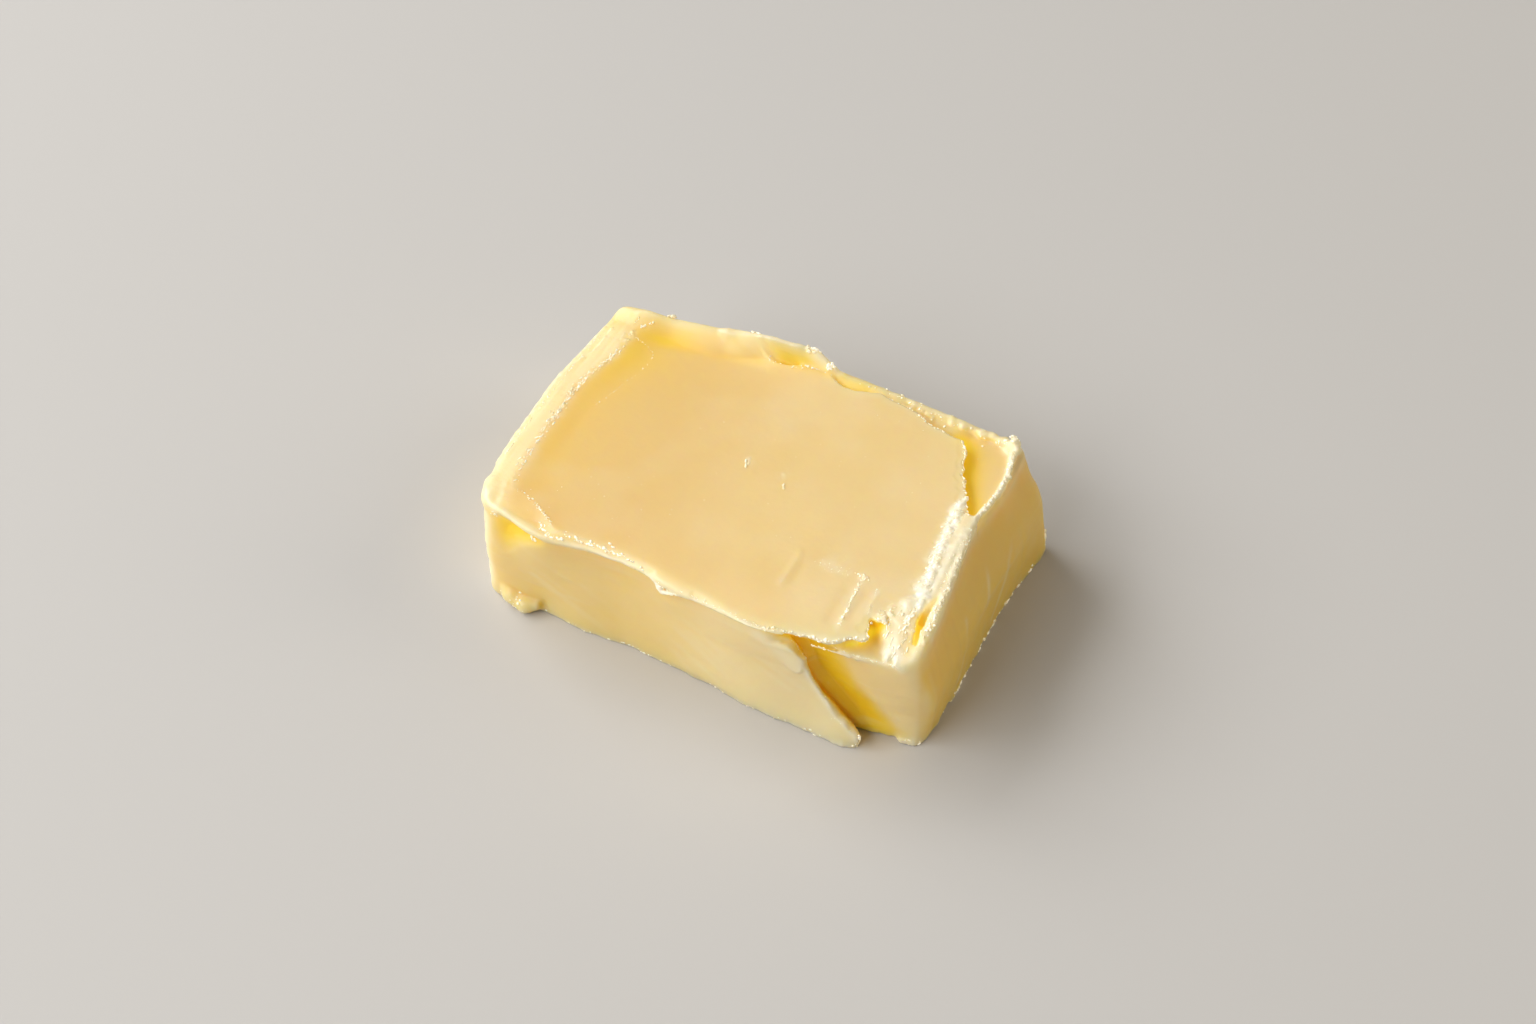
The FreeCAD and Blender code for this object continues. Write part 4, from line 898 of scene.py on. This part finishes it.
def math_node(op, a, b=None, clamp=False):
    n = nodes.new("ShaderNodeMath")
    n.operation = op
    n.use_clamp = clamp
    for i, v in enumerate((a, b)):
        if v is None:
            continue
        if isinstance(v, (int, float)):
            n.inputs[i].default_value = v
        else:
            links.new(v, n.inputs[i])
    return n.outputs[0]


def ramp(fac, stops):
    n = nodes.new("ShaderNodeValToRGB")
    e = n.color_ramp.elements
    e[0].position, e[0].color = stops[0][0], (*stops[0][1], 1)
    e[1].position, e[1].color = stops[-1][0], (*stops[-1][1], 1)
    for pos, col in stops[1:-1]:
        x = e.new(pos)
        x.color = (*col, 1)
    links.new(fac, n.inputs[0])
    return n.outputs[0]


def mix(fac, a, b):
    n = nodes.new("ShaderNodeMix")
    n.data_type = "RGBA"
    links.new(fac, n.inputs[0])
    for i, v in ((6, a), (7, b)):
        if isinstance(v, tuple):
            n.inputs[i].default_value = (*v, 1)
        else:
            links.new(v, n.inputs[i])
    return n.outputs[2]


coord = nodes.new("ShaderNodeTexCoord")
coords = coord.outputs["Object"]


def scaled(sx, sy, sz):
    n = nodes.new("ShaderNodeMapping")
    n.inputs["Scale"].default_value = (sx, sy, sz)
    links.new(coords, n.inputs["Vector"])
    return n.outputs[0]


BUTTER_A = (0.895, 0.650, 0.235)
BUTTER_B = (0.925, 0.690, 0.285)
# paler top skin: painted sheen
TOP_SHEEN_A = (0.880, 0.660, 0.300)
TOP_SHEEN_B = (0.900, 0.690, 0.342)
# painted shade on the top's left
TOP_LEFT_SHADE = (0.842, 0.598, 0.246)
# golden tones: painted shade in hollows, troughs and the front groove
GOLD_SHADE = (0.97, 0.650, 0.022)
HONEY_SHADE = (0.97, 0.650, 0.070)
AMBER_SHADE = (0.97, 0.585, 0.020)
# painted shade on the right end face
END_SHADE = (0.955, 0.635, 0.130)
# painted shade on the notch floor
NOTCH_FLOOR_SHADE = (0.760, 0.575, 0.270)
# cream: paler torn edges and drag streaks, with painted edge light and painted sheen
CREAM_AND_SHEEN = (0.965, 0.885, 0.66)
# white: whitest torn edges, with painted glints
WHITE_AND_GLINT = (0.970, 0.925, 0.79)

wide = noise(110, 2.0).outputs[0]
body_colour = ramp(wide, [(0.35, BUTTER_A), (0.65, BUTTER_B)])
top_sheen_colour = ramp(wide, [(0.35, TOP_SHEEN_A), (0.65, TOP_SHEEN_B)])
# painted shade on the top's left, and a paler painted sheen over the top skin
top_sheen_colour = mix(attr("left"), top_sheen_colour, TOP_LEFT_SHADE)
colour = mix(attr("top_sheen"), body_colour, top_sheen_colour)
# painted shade on the right end, painted sheen on the front, painted shade on the notch floor
colour = mix(attr("end_shade"), colour, END_SHADE)
colour = mix(attr("cream_sheen"), colour, CREAM_AND_SHEEN)
colour = mix(attr("notch_floor_shade"), colour, NOTCH_FLOOR_SHADE)
# painted golden shade in hollows, the rim trough, crevices and the front groove
hollow_shade = math_node("MULTIPLY", attr("hollow_shade"), 0.75, clamp=True)
colour = mix(hollow_shade, colour, GOLD_SHADE)
colour = mix(attr("honey_shade"), colour, HONEY_SHADE)
colour = mix(attr("gold_shade"), colour, GOLD_SHADE)
colour = mix(attr("amber_shade"), colour, AMBER_SHADE)
speck = ramp(noise(900, 2.0).outputs[0], [(0.62, (0, 0, 0)), (0.75, (1, 1, 1))])
# paler torn edges with painted edge light, and painted highlights on convex crests
edge = math_node("ADD", attr("pale_and_lit"), math_node("MULTIPLY", attr("crest"), 0.42), clamp=True)
edge = math_node("MULTIPLY", edge, 0.85, clamp=True)
colour = mix(edge, colour, CREAM_AND_SHEEN)
# painted glints on the whitest edges
colour = mix(attr("white_and_glint"), colour, WHITE_AND_GLINT)
# faint paler drag streaks on the sides
streak = noise(300, 3.0, 0.6, vector=scaled(0.12, 0.12, 1.0)).outputs[0]
streak_amount = ramp(streak, [(0.58, (0, 0, 0)), (0.72, (0.16, 0.16, 0.16))])
colour = mix(streak_amount, colour, CREAM_AND_SHEEN)
links.new(colour, bsdf.inputs["Base Color"])

rough = ramp(noise(240, 4.0, 0.6).outputs[0], [(0.3, (0.36, 0.36, 0.36)), (0.7, (0.50, 0.50, 0.50))])
shine = math_node("MULTIPLY", edge, 0.26)
rough_out = math_node("SUBTRACT", rough, shine, clamp=True)
links.new(rough_out, bsdf.inputs["Roughness"])
bsdf.inputs["IOR"].default_value = 1.46
bsdf.inputs["Specular IOR Level"].default_value = 0.5
links.new(math_node("SUBTRACT", 0.72, math_node("MULTIPLY", edge, 0.62), clamp=True), bsdf.inputs["Subsurface Weight"])
bsdf.inputs["Subsurface Radius"].default_value = (1.0, 0.78, 0.26)
bsdf.inputs["Subsurface Scale"].default_value = 0.0042
# painted glow: emission stands in for light that seeps through the butter into its thin-walled hollows, and adds glow
# on pale torn edges and glow spots
torn_light = math_node("MULTIPLY", math_node("POWER", attr("pale_and_lit"), 2.0), 0.085)
torn_light = math_node("ADD", torn_light, math_node("MULTIPLY", attr("painted_glow"), 0.17))
links.new(math_node("ADD", math_node("MULTIPLY", attr("seep_glow"), 0.24), torn_light), bsdf.inputs["Emission Strength"])
seep_glow_colour = mix(attr("glow_lemon"), (1.0, 0.77, 0.04), (0.72, 1.0, 0.02))
links.new(mix(math_node("ADD", attr("pale_and_lit"), attr("painted_glow"), clamp=True), seep_glow_colour, (1.0, 0.89, 0.64)), bsdf.inputs["Emission Color"])
bsdf.inputs["Coat Weight"].default_value = 0.06
bsdf.inputs["Coat Roughness"].default_value = 0.22

# bump: soft pores, drag lines on the sides, crisp grain on torn edges
pores = noise(1500, 3.0, 0.55).outputs[0]
soft = noise(420, 3.0, 0.5).outputs[0]
crisp_noise = noise(2600, 2.0, 0.6).outputs[0]
h1 = math_node("MULTIPLY", pores, 0.10)
h2 = math_node("MULTIPLY", soft, 0.35)
h3 = math_node("MULTIPLY", math_node("MULTIPLY", crisp_noise, edge), 0.35)
h4 = math_node("MULTIPLY", streak, 0.30)
height_out = math_node("ADD", math_node("ADD", h1, h2), math_node("ADD", h3, h4))
bump = nodes.new("ShaderNodeBump")
bump.inputs["Strength"].default_value = 0.55
bump.inputs["Distance"].default_value = 0.00018
links.new(height_out, bump.inputs["Height"])
links.new(bump.outputs[0], bsdf.inputs["Normal"])
mesh.materials.clear()
mesh.materials.append(mat)

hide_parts("butter_block")
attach(butter, "root")

# ------------------------------------------------------------------ fine crumbs and beads that sparkle on torn edges
def ball():
    """A twice-split octahedron, unit radius: 66 points, 128 triangles; once split for the smallest crumbs."""
    v = [(1, 0, 0), (-1, 0, 0), (0, 1, 0), (0, -1, 0), (0, 0, 1), (0, 0, -1)]
    f = [(0, 2, 4), (2, 1, 4), (1, 3, 4), (3, 0, 4), (2, 0, 5), (1, 2, 5), (3, 1, 5), (0, 3, 5)]
    out_levels = []
    for _ in range(2):
        v = [tuple(q) for q in v]
        seen = {}
        nf = []

        def mid(i, j):
            key = (min(i, j), max(i, j))
            if key not in seen:
                m = np.array(v[i], float) + np.array(v[j], float)
                v.append(tuple(m / np.linalg.norm(m)))
                seen[key] = len(v) - 1
            return seen[key]

        for i, j, k in f:
            a, b, c = mid(i, j), mid(j, k), mid(k, i)
            nf += [(i, a, c), (a, j, b), (c, b, k), (a, b, c)]
        f = nf
        out_levels.append((np.array(v, float), np.array(f)))
    return out_levels


BALL_SMALL, BALL_BIG = ball()
crumb_v, crumb_f, crumb_n = [], [], 0
crng = np.random.default_rng(201)


def onto_surface(q):
    q = q.copy()
    for _ in range(14):
        g = gradient(D, q, PITCH)
        length = np.maximum(np.linalg.norm(g, axis=1), 0.3)
        q -= g * (np.clip(sample(D, q), -0.6, 0.6) / length**2)[:, None]
    g = gradient(D, q, PITCH)
    return q, g / np.maximum(np.linalg.norm(g, axis=1, keepdims=True), 1e-6)


def crumbs(line, count, size, spread=(0.2, 0.2, 0.0), stretch=(1.0, 1.8), heading=None, fan=40.0, out=0.25, bunch=0.0):
    """Scatter crumbs along a line; size is a radius range, heading an angle in plan the long axis follows."""
    global crumb_n
    path = smooth_loop(line, 8, closed=False) if len(line) > 1 else np.array(line, float)
    u = crng.random(count)
    if bunch:
        centres = crng.random(max(2, count // 9))
        u = np.clip(centres[crng.integers(0, len(centres), count)] + crng.normal(0, 0.02, count), 0, 1) * bunch + u * (1 - bunch)
    at = u * (len(path) - 1)
    q = np.stack([np.interp(at, np.arange(len(path)), path[:, i]) for i in range(3)], 1)
    q = q + crng.normal(0, 1, q.shape) * spread
    start = q
    q, normal_q = onto_surface(q)
    stays = (np.abs(sample(D, q)) < 0.08) & (np.linalg.norm(q - start, axis=1) < 1.6)
    for i in np.nonzero(stays)[0]:
        r = size[0] + (size[1] - size[0]) * crng.random() ** 2
        base_v, base_f = BALL_BIG if r > 0.13 else BALL_SMALL
        lump = 1 + 0.22 * np.sin(base_v @ crng.normal(0, 2.2, 3) + crng.uniform(0, 6)) + 0.08 * crng.standard_normal(len(base_v))
        long = crng.uniform(*stretch)
        shape_v = base_v * lump[:, None] * [long, 1.0, crng.uniform(0.55, 0.9)] * r / long**0.35
        ang = math.radians(crng.uniform(0, 360) if heading is None else heading + crng.uniform(-fan, fan))
        n = normal_q[i]
        along = np.array([math.cos(ang), math.sin(ang), 0.0])
        along = along - n * (along @ n)
        along /= max(np.linalg.norm(along), 1e-6)
        across = np.cross(n, along)
        shape_v = shape_v[:, :1] * along + shape_v[:, 1:2] * across + shape_v[:, 2:] * n
        crumb_v.append(shape_v + q[i] + n * r * out * crng.uniform(0.2, 1.4))
        crumb_f.append(base_f + crumb_n)
        crumb_n += len(base_v)


crumbs(crest, 260, (0.055, 0.16), spread=(0.26, 0.3, 0), stretch=(1.8, 4.5), heading=76, fan=24, out=0.22, bunch=0.6)
crumbs([(-34.6, -12, 19.2), (-35.0, -2, 19.2), (-35.0, 8, 19.3), (-34.8, 16, 19.5)], 80, (0.06, 0.13), spread=(0.12, 0.3, 0.2), stretch=(1.5, 4), heading=88, fan=10)
crumbs([(-31.0, 19.2, 20.2), (-29.6, 19.0, 20.0), (-28.6, 19.6, 20.2)], 14, (0.08, 0.2), spread=(0.25, 0.25, 0))
crumbs([(-30.6, -17.0, 19.0), (-28.2, -17.4, 19.0), (-26.8, -17.8, 18.9), (-24.5, -18.9, 18.8), (-22.9, -20.0, 18.8), (-21.6, -20.9, 18.6)], 60, (0.05, 0.14), spread=(0.15, 0.12, 0), stretch=(1, 2.5), heading=-25, bunch=0.5)
crumbs([(-23.6, -20.4, 18.2), (-21.6, -21.3, 18.0), (-20.0, -21.3, 18.2)], 40, (0.06, 0.19), spread=(0.35, 0.35, 0), stretch=(1, 3), heading=-10)
crumbs([(-20.0, -21.0, 18.5), (-15.6, -20.9, 18.6), (-12.6, -20.9, 18.6), (-9.2, -21.3, 18.5), (-5.5, -22.0, 18.4)], 70, (0.06, 0.21), spread=(0.3, 0.22, 0), stretch=(1, 2.5), heading=-8, bunch=0.6)
crumbs([(-5.4, -22.5, 18.2), (-3.4, -23.1, 17.4), (-1.8, -23.0, 17.8)], 22, (0.07, 0.17), spread=(0.15, 0.1, 0.15), stretch=(1, 2.5))
crumbs([(-1.5, -22.8, 18.4), (2.3, -23.3, 18.6), (7.2, -23.8, 18.8), (10.5, -24.2, 18.9)], 40, (0.05, 0.13), spread=(0.25, 0.15, 0), stretch=(1, 3), heading=-5)
crumbs([(10.7, -24.3, 18.9), (14.1, -23.4, 18.9), (17.8, -22.7, 18.8), (21.1, -21.6, 18.8), (23.5, -20.1, 18.8)], 80, (0.07, 0.19), spread=(0.12, 0.1, 0.15), stretch=(1, 1.8))
crumbs([(23.8, -19.6, 18.9), (23.3, -18.4, 18.9), (23.4, -17.0, 19.0), (24.2, -15.9, 19.0)], 26, (0.07, 0.18), spread=(0.15, 0.15, 0.1))
crumbs([(24.0, -15.8, 19.0), (25.3, -14.8, 19.0)], 26, (0.06, 0.16), spread=(0.5, 0.6, 0), stretch=(1, 3), heading=235)
crumbs([(16.6, -21.5, 16.0), (19.2, -21.2, 16.0), (23.2, -20.8, 16.0), (28.1, -20.3, 16.2)], 64, (0.06, 0.14), spread=(0.1, 0.08, 0.06), stretch=(1, 2), heading=5)
crumbs([(24.9, -16.2, 18.6), (25.9, -17.6, 18.0), (27.0, -19.0, 17.0), (28.3, -19.9, 16.5)], 26, (0.07, 0.2), spread=(0.45, 0.5, 0.2), stretch=(1.6, 4), heading=262, fan=16, out=0.12)
crumbs([(26.2, -13.0, 18.9), (26.9, -15.0, 18.7), (27.6, -17.2, 17.9), (28.6, -19.2, 16.9)], 60, (0.07, 0.22), spread=(0.4, 0.5, 0.1), stretch=(2.0, 5), heading=265, fan=14, out=0.12, bunch=0.4)
crumbs([(25.2, 7.4, 19.2), (25.5, 5.1, 19.2), (26.0, 0.3, 19.2), (26.3, -4.0, 19.2), (26.8, -8.1, 19.2), (27.5, -12.3, 19.0)], 260, (0.055, 0.17), spread=(0.42, 0.3, 0), stretch=(1.6, 4.5), heading=240, fan=20, out=0.15, bunch=0.3)
crumbs([(27.7, 20.0, 19.4), (28.5, 17.6, 19.3), (29.1, 12.1, 19.3), (28.8, 7.3, 19.3), (28.4, 3.7, 19.3)], 120, (0.06, 0.19), spread=(0.22, 0.3, 0), stretch=(1, 2), bunch=0.4)
crumbs([(28.4, 3.7, 19.3), (28.9, 0.5, 19.3), (29.3, -4.7, 19.3), (29.8, -8.7, 19.3), (30.1, -12.5, 19.1), (30.2, -16.0, 18.6), (29.4, -19.2, 17.0)], 130, (0.05, 0.17), spread=(0.2, 0.3, 0), stretch=(1, 2.4), heading=80, bunch=0.4)
crumbs([(28.3, 1.5, 19.2), (28.6, -4.0, 19.2), (28.8, -9.0, 19.0)], 40, (0.05, 0.12), spread=(0.3, 0.4, 0), stretch=(2, 5), heading=262, fan=8)
crumbs([(29.7, -10.6, 19.1), (29.8, -13.0, 18.8), (29.9, -16.0, 18.1)], 34, (0.06, 0.15), spread=(0.08, 0.3, 0.1), stretch=(1, 2))
crumbs([(20.9, 18.3, 19.1), (21.6, 17.4, 19.1), (22.6, 15.0, 19.1), (23.9, 11.8, 19.1), (25.7, 8.0, 19.1), (27.3, 4.9, 19.1)], 110, (0.07, 0.19), spread=(0.14, 0.15, 0.1), stretch=(1, 1.8))
crumbs([(7.0, 21.9, 19.0), (11, 20.9, 19.0), (15, 19.5, 19.0), (17.8, 18.7, 19.0), (20.6, 18.5, 19.0)], 60, (0.06, 0.17), spread=(0.3, 0.2, 0.1), bunch=0.5)
crumbs([(0.0, 22.6, 18.6), (6.0, 22.9, 18.5), (12, 22.3, 18.4), (18, 21.4, 18.5), (24, 20.6, 18.6), (27, 20.4, 19.0)], 46, (0.06, 0.2), spread=(0.5, 0.5, 0), bunch=0.7)
crumbs([(27.4, 20.4, 20.4), (27.9, 20.2, 20.0)], 22, (0.08, 0.2), spread=(0.3, 0.3, 0.4))
crumbs([(-14.0, 22.6, 21.4), (-13.0, 22.8, 21.5)], 9, (0.17, 0.28), spread=(0.3, 0.2, 0.1), out=0.5)
crumbs([(-5.0, 23.4, 21.3), (-3.6, 23.5, 21.1)], 12, (0.18, 0.32), spread=(0.3, 0.15, 0.12), out=0.5)
crumbs([(-2.0, 22.9, 19.8), (-1.2, 22.8, 19.6)], 10, (0.18, 0.32), spread=(0.3, 0.15, 0.1), out=0.5)
crumbs([(-10.5, 21.3, 19.4), (-7.0, 21.1, 19.1), (-3.0, 22.2, 19.1), (0.6, 21.2, 19.0)], 26, (0.06, 0.16), spread=(0.3, 0.2, 0))
crumbs([(-26.6, 21.4, 21.0), (-26.0, 21.4, 21.0)], 5, (0.26, 0.36), spread=(0.15, 0.1, 0), out=0.9)
crumbs([(19.0, -10.6, 19.3), (19.4, -16.2, 19.3), (19.6, -20.3, 19.2)], 110, (0.05, 0.15), spread=(0.1, 0.2, 0), stretch=(1, 2), heading=90, bunch=0.4)
crumbs([(18.3, -10.7, 19.3), (19.5, -10.9, 19.3)], 16, (0.07, 0.16), spread=(0.25, 0.2, 0))
crumbs([(21.5, -11.9, 19.2), (22.2, -16.3, 19.2)], 20, (0.05, 0.1), spread=(0.08, 0.2, 0))
crumbs([(12.8, -10.9, 19.2), (17.0, -11.0, 19.2)], 22, (0.04, 0.09), spread=(0.3, 0.5, 0), stretch=(1, 3), heading=80)
crumbs([(-29.8, 16.7, 19.2), (-26.4, 15.4, 19.0), (-25.4, 13.0, 19.0), (-26.7, 6.4, 19.0), (-28.0, 1.9, 19.0)], 46, (0.04, 0.085), spread=(0.06, 0.1, 0))
crumbs([(24.2, -22.6, 1.9), (24.5, -22.5, 0.8), (23.6, -23.0, 0.4)], 16, (0.09, 0.24), spread=(0.12, 0.12, 0.2))
crumbs([(28.4, -19.6, 0.6), (30.4, -19.2, 0.4), (31.6, -18.6, 0.4)], 14, (0.07, 0.2), spread=(0.15, 0.12, 0.2))
crumbs([(-4.1, 1.5, 19.2), (-3.6, 0.4, 19.2)], 20, (0.1, 0.18), spread=(0.07, 0.12, 0), stretch=(1.5, 3), heading=110, fan=15, out=0.5)
crumbs([(2.4, -0.3, 19.2), (2.8, -1.1, 19.2)], 14, (0.09, 0.16), spread=(0.05, 0.1, 0), stretch=(1.5, 3), heading=115, fan=15, out=0.5)
crumbs([(-26, -14, 19.1), (20, 14, 19.1)], 60, (0.035, 0.07), spread=(6, 8, 0), out=0.1)
crumbs([(14.2, -22.2, 16.5), (16.4, -22.3, 13.8), (17.8, -22.4, 9.1), (20.2, -22.3, 5.1), (22.6, -22.1, 2.1), (24.2, -21.8, 0.8)], 34, (0.05, 0.11), spread=(0.12, 0.12, 0.2))
crumbs([(32.0, -17.5, 0.6), (32.6, -8.0, 0.6), (32.7, 3.0, 0.6), (33.2, 12.0, 0.7), (33.4, 20.0, 0.9)], 80, (0.08, 0.25), spread=(0.1, 0.4, 0.3), bunch=0.5)
crumbs([(33.3, 20.6, 4.0), (33.3, 21.0, 1.0)], 12, (0.12, 0.3), spread=(0.1, 0.2, 0.4))
crumbs([(-30.0, -21.2, 1.6), (-27.0, -22.2, 1.0)], 14, (0.08, 0.2), spread=(0.5, 0.3, 0.4))
crumbs([(-28.0, -21.6, 0.4), (-12.8, -21.6, 0.4), (0.1, -22.4, 0.4), (9.6, -23.3, 0.4), (22.0, -22.8, 0.4)], 60, (0.06, 0.16), spread=(0.2, 0.1, 0.15), stretch=(1, 2.5), heading=0)
crumbs([(-31.2, -20.9, 17.6), (-30.6, -21.2, 17.0)], 9, (0.08, 0.2), spread=(0.3, 0.1, 0.3))
crumbs([(-25.0, -21.8, 16.4), (-24.0, -21.9, 16.2)], 10, (0.08, 0.2), spread=(0.3, 0.1, 0.2))

cv = np.concatenate(crumb_v)
cf = np.concatenate(crumb_f)
cv[:, 2] = np.maximum(cv[:, 2], 0.0)
crumb_mesh = mesh_from("butter_crumbs", to_row(cv), cf)
crumb_mesh.polygons.foreach_set("use_smooth", np.ones(len(crumb_mesh.polygons), bool))
crumb_ob = bpy.data.objects.new("butter_crumbs", crumb_mesh)
bpy.context.scene.collection.objects.link(crumb_ob)
print("crumbs", len(crumb_v), len(cf), round(time.time() - T0, 1))

cm = bpy.data.materials.new("butter_crumb")
cm.use_nodes = True
nt = cm.node_tree
nodes, links = nt.nodes, nt.links
nodes.clear()
out = nodes.new("ShaderNodeOutputMaterial")
crumb_bsdf = nodes.new("ShaderNodeBsdfPrincipled")
links.new(crumb_bsdf.outputs[0], out.inputs[0])
coord = nodes.new("ShaderNodeTexCoord")
coords = coord.outputs["Object"]
tone = noise(700, 2.0).outputs[0]
# whitish crumbs, their whiteness partly painted glints
links.new(ramp(tone, [(0.30, (0.97, 0.86, 0.58)), (0.60, (1.0, 0.955, 0.82))]), crumb_bsdf.inputs["Base Color"])
# painted glow: the crumbs give off faint light of their own
links.new(ramp(tone, [(0.40, (0.10, 0.085, 0.05)), (0.60, (0.30, 0.27, 0.20))]), crumb_bsdf.inputs["Emission Color"])
crumb_bsdf.inputs["Emission Strength"].default_value = 1.0
links.new(ramp(noise(1900, 2.0).outputs[0], [(0.35, (0.10, 0.10, 0.10)), (0.65, (0.30, 0.30, 0.30))]), crumb_bsdf.inputs["Roughness"])
crumb_bsdf.inputs["IOR"].default_value = 1.47
crumb_bsdf.inputs["Specular IOR Level"].default_value = 0.75
crumb_bsdf.inputs["Coat Weight"].default_value = 0.25
crumb_bsdf.inputs["Coat Roughness"].default_value = 0.08
bump = nodes.new("ShaderNodeBump")
bump.inputs["Strength"].default_value = 0.4
bump.inputs["Distance"].default_value = 0.00005
links.new(noise(6000, 2.0).outputs[0], bump.inputs["Height"])
links.new(bump.outputs[0], crumb_bsdf.inputs["Normal"])
crumb_mesh.materials.append(cm)
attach(crumb_ob, "root")

# ------------------------------------------------------------------ floor, light, camera
floor_mesh = bpy.data.meshes.new("floor")
floor_mesh.from_pydata([(-1.6, -1.6, 0), (1.6, -1.6, 0), (1.6, 1.6, 0), (-1.6, 1.6, 0)], [], [(0, 1, 2, 3)])
floor = bpy.data.objects.new("floor", floor_mesh)
bpy.context.scene.collection.objects.link(floor)
fm = bpy.data.materials.new("floor")
fm.use_nodes = True
fb = fm.node_tree.nodes["Principled BSDF"]
fb.inputs["Base Color"].default_value = (0.590, 0.580, 0.570, 1)
fb.inputs["Roughness"].default_value = 0.75
floor_mesh.materials.append(fm)

YAW = math.radians(26.2)
RIGHT = np.array([math.cos(YAW), math.sin(YAW), 0])
AWAY = np.array([-math.sin(YAW), math.cos(YAW), 0])


def area(name, turn, rise, power, colour, size=1.0, away=1.8):
    """A soft square light; turn 0 is behind the block as the camera sees it, 90 at its left, 270 at its right."""
    d = AWAY * math.cos(math.radians(turn)) - RIGHT * math.sin(math.radians(turn))
    d = d * math.cos(math.radians(rise)) + np.array([0, 0, math.sin(math.radians(rise))])
    light = bpy.data.lights.new(name, "AREA")
    light.shape = "RECTANGLE"
    light.size = light.size_y = size
    light.energy = power
    light.color = colour
    ob = bpy.data.objects.new(name, light)
    ob.location = Vector(d * away)
    ob.rotation_euler = (Vector((0, 0, 0.01)) - ob.location).to_track_quat("-Z", "Y").to_euler()
    bpy.context.scene.collection.objects.link(ob)


area("window_left", 90, 35, 16.2, (1.0, 0.99, 0.97))
area("window_back", 50, 38, 18.0, (1.0, 0.99, 0.975))
area("window_front", 130, 35, 13.8, (1.0, 0.985, 0.96))
area("fill_right", 270, 30, 9.6, (1.0, 0.88, 0.68))

world = bpy.data.worlds.new("world")
world.use_nodes = True
world.node_tree.nodes["Background"].inputs[0].default_value = (1.0, 0.92, 0.80, 1)
world.node_tree.nodes["Background"].inputs[1].default_value = 0.08
bpy.context.scene.world = world

cam = bpy.data.cameras.new("camera")
cam.lens = 50
cam.sensor_width = 36
cam.clip_start = 0.01
camera = bpy.data.objects.new("camera", cam)
camera.location = Vector((np.array([88.69, -180.42, 227.69]) + SHIFT) / 1000.0)
camera.rotation_euler = (math.radians(43), 0, YAW)
bpy.context.scene.collection.objects.link(camera)
bpy.context.scene.camera = camera
bpy.context.scene.view_settings.view_transform = "Standard"
bpy.context.scene.view_settings.look = "None"

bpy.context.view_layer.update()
print("done", round(time.time() - T0, 1))
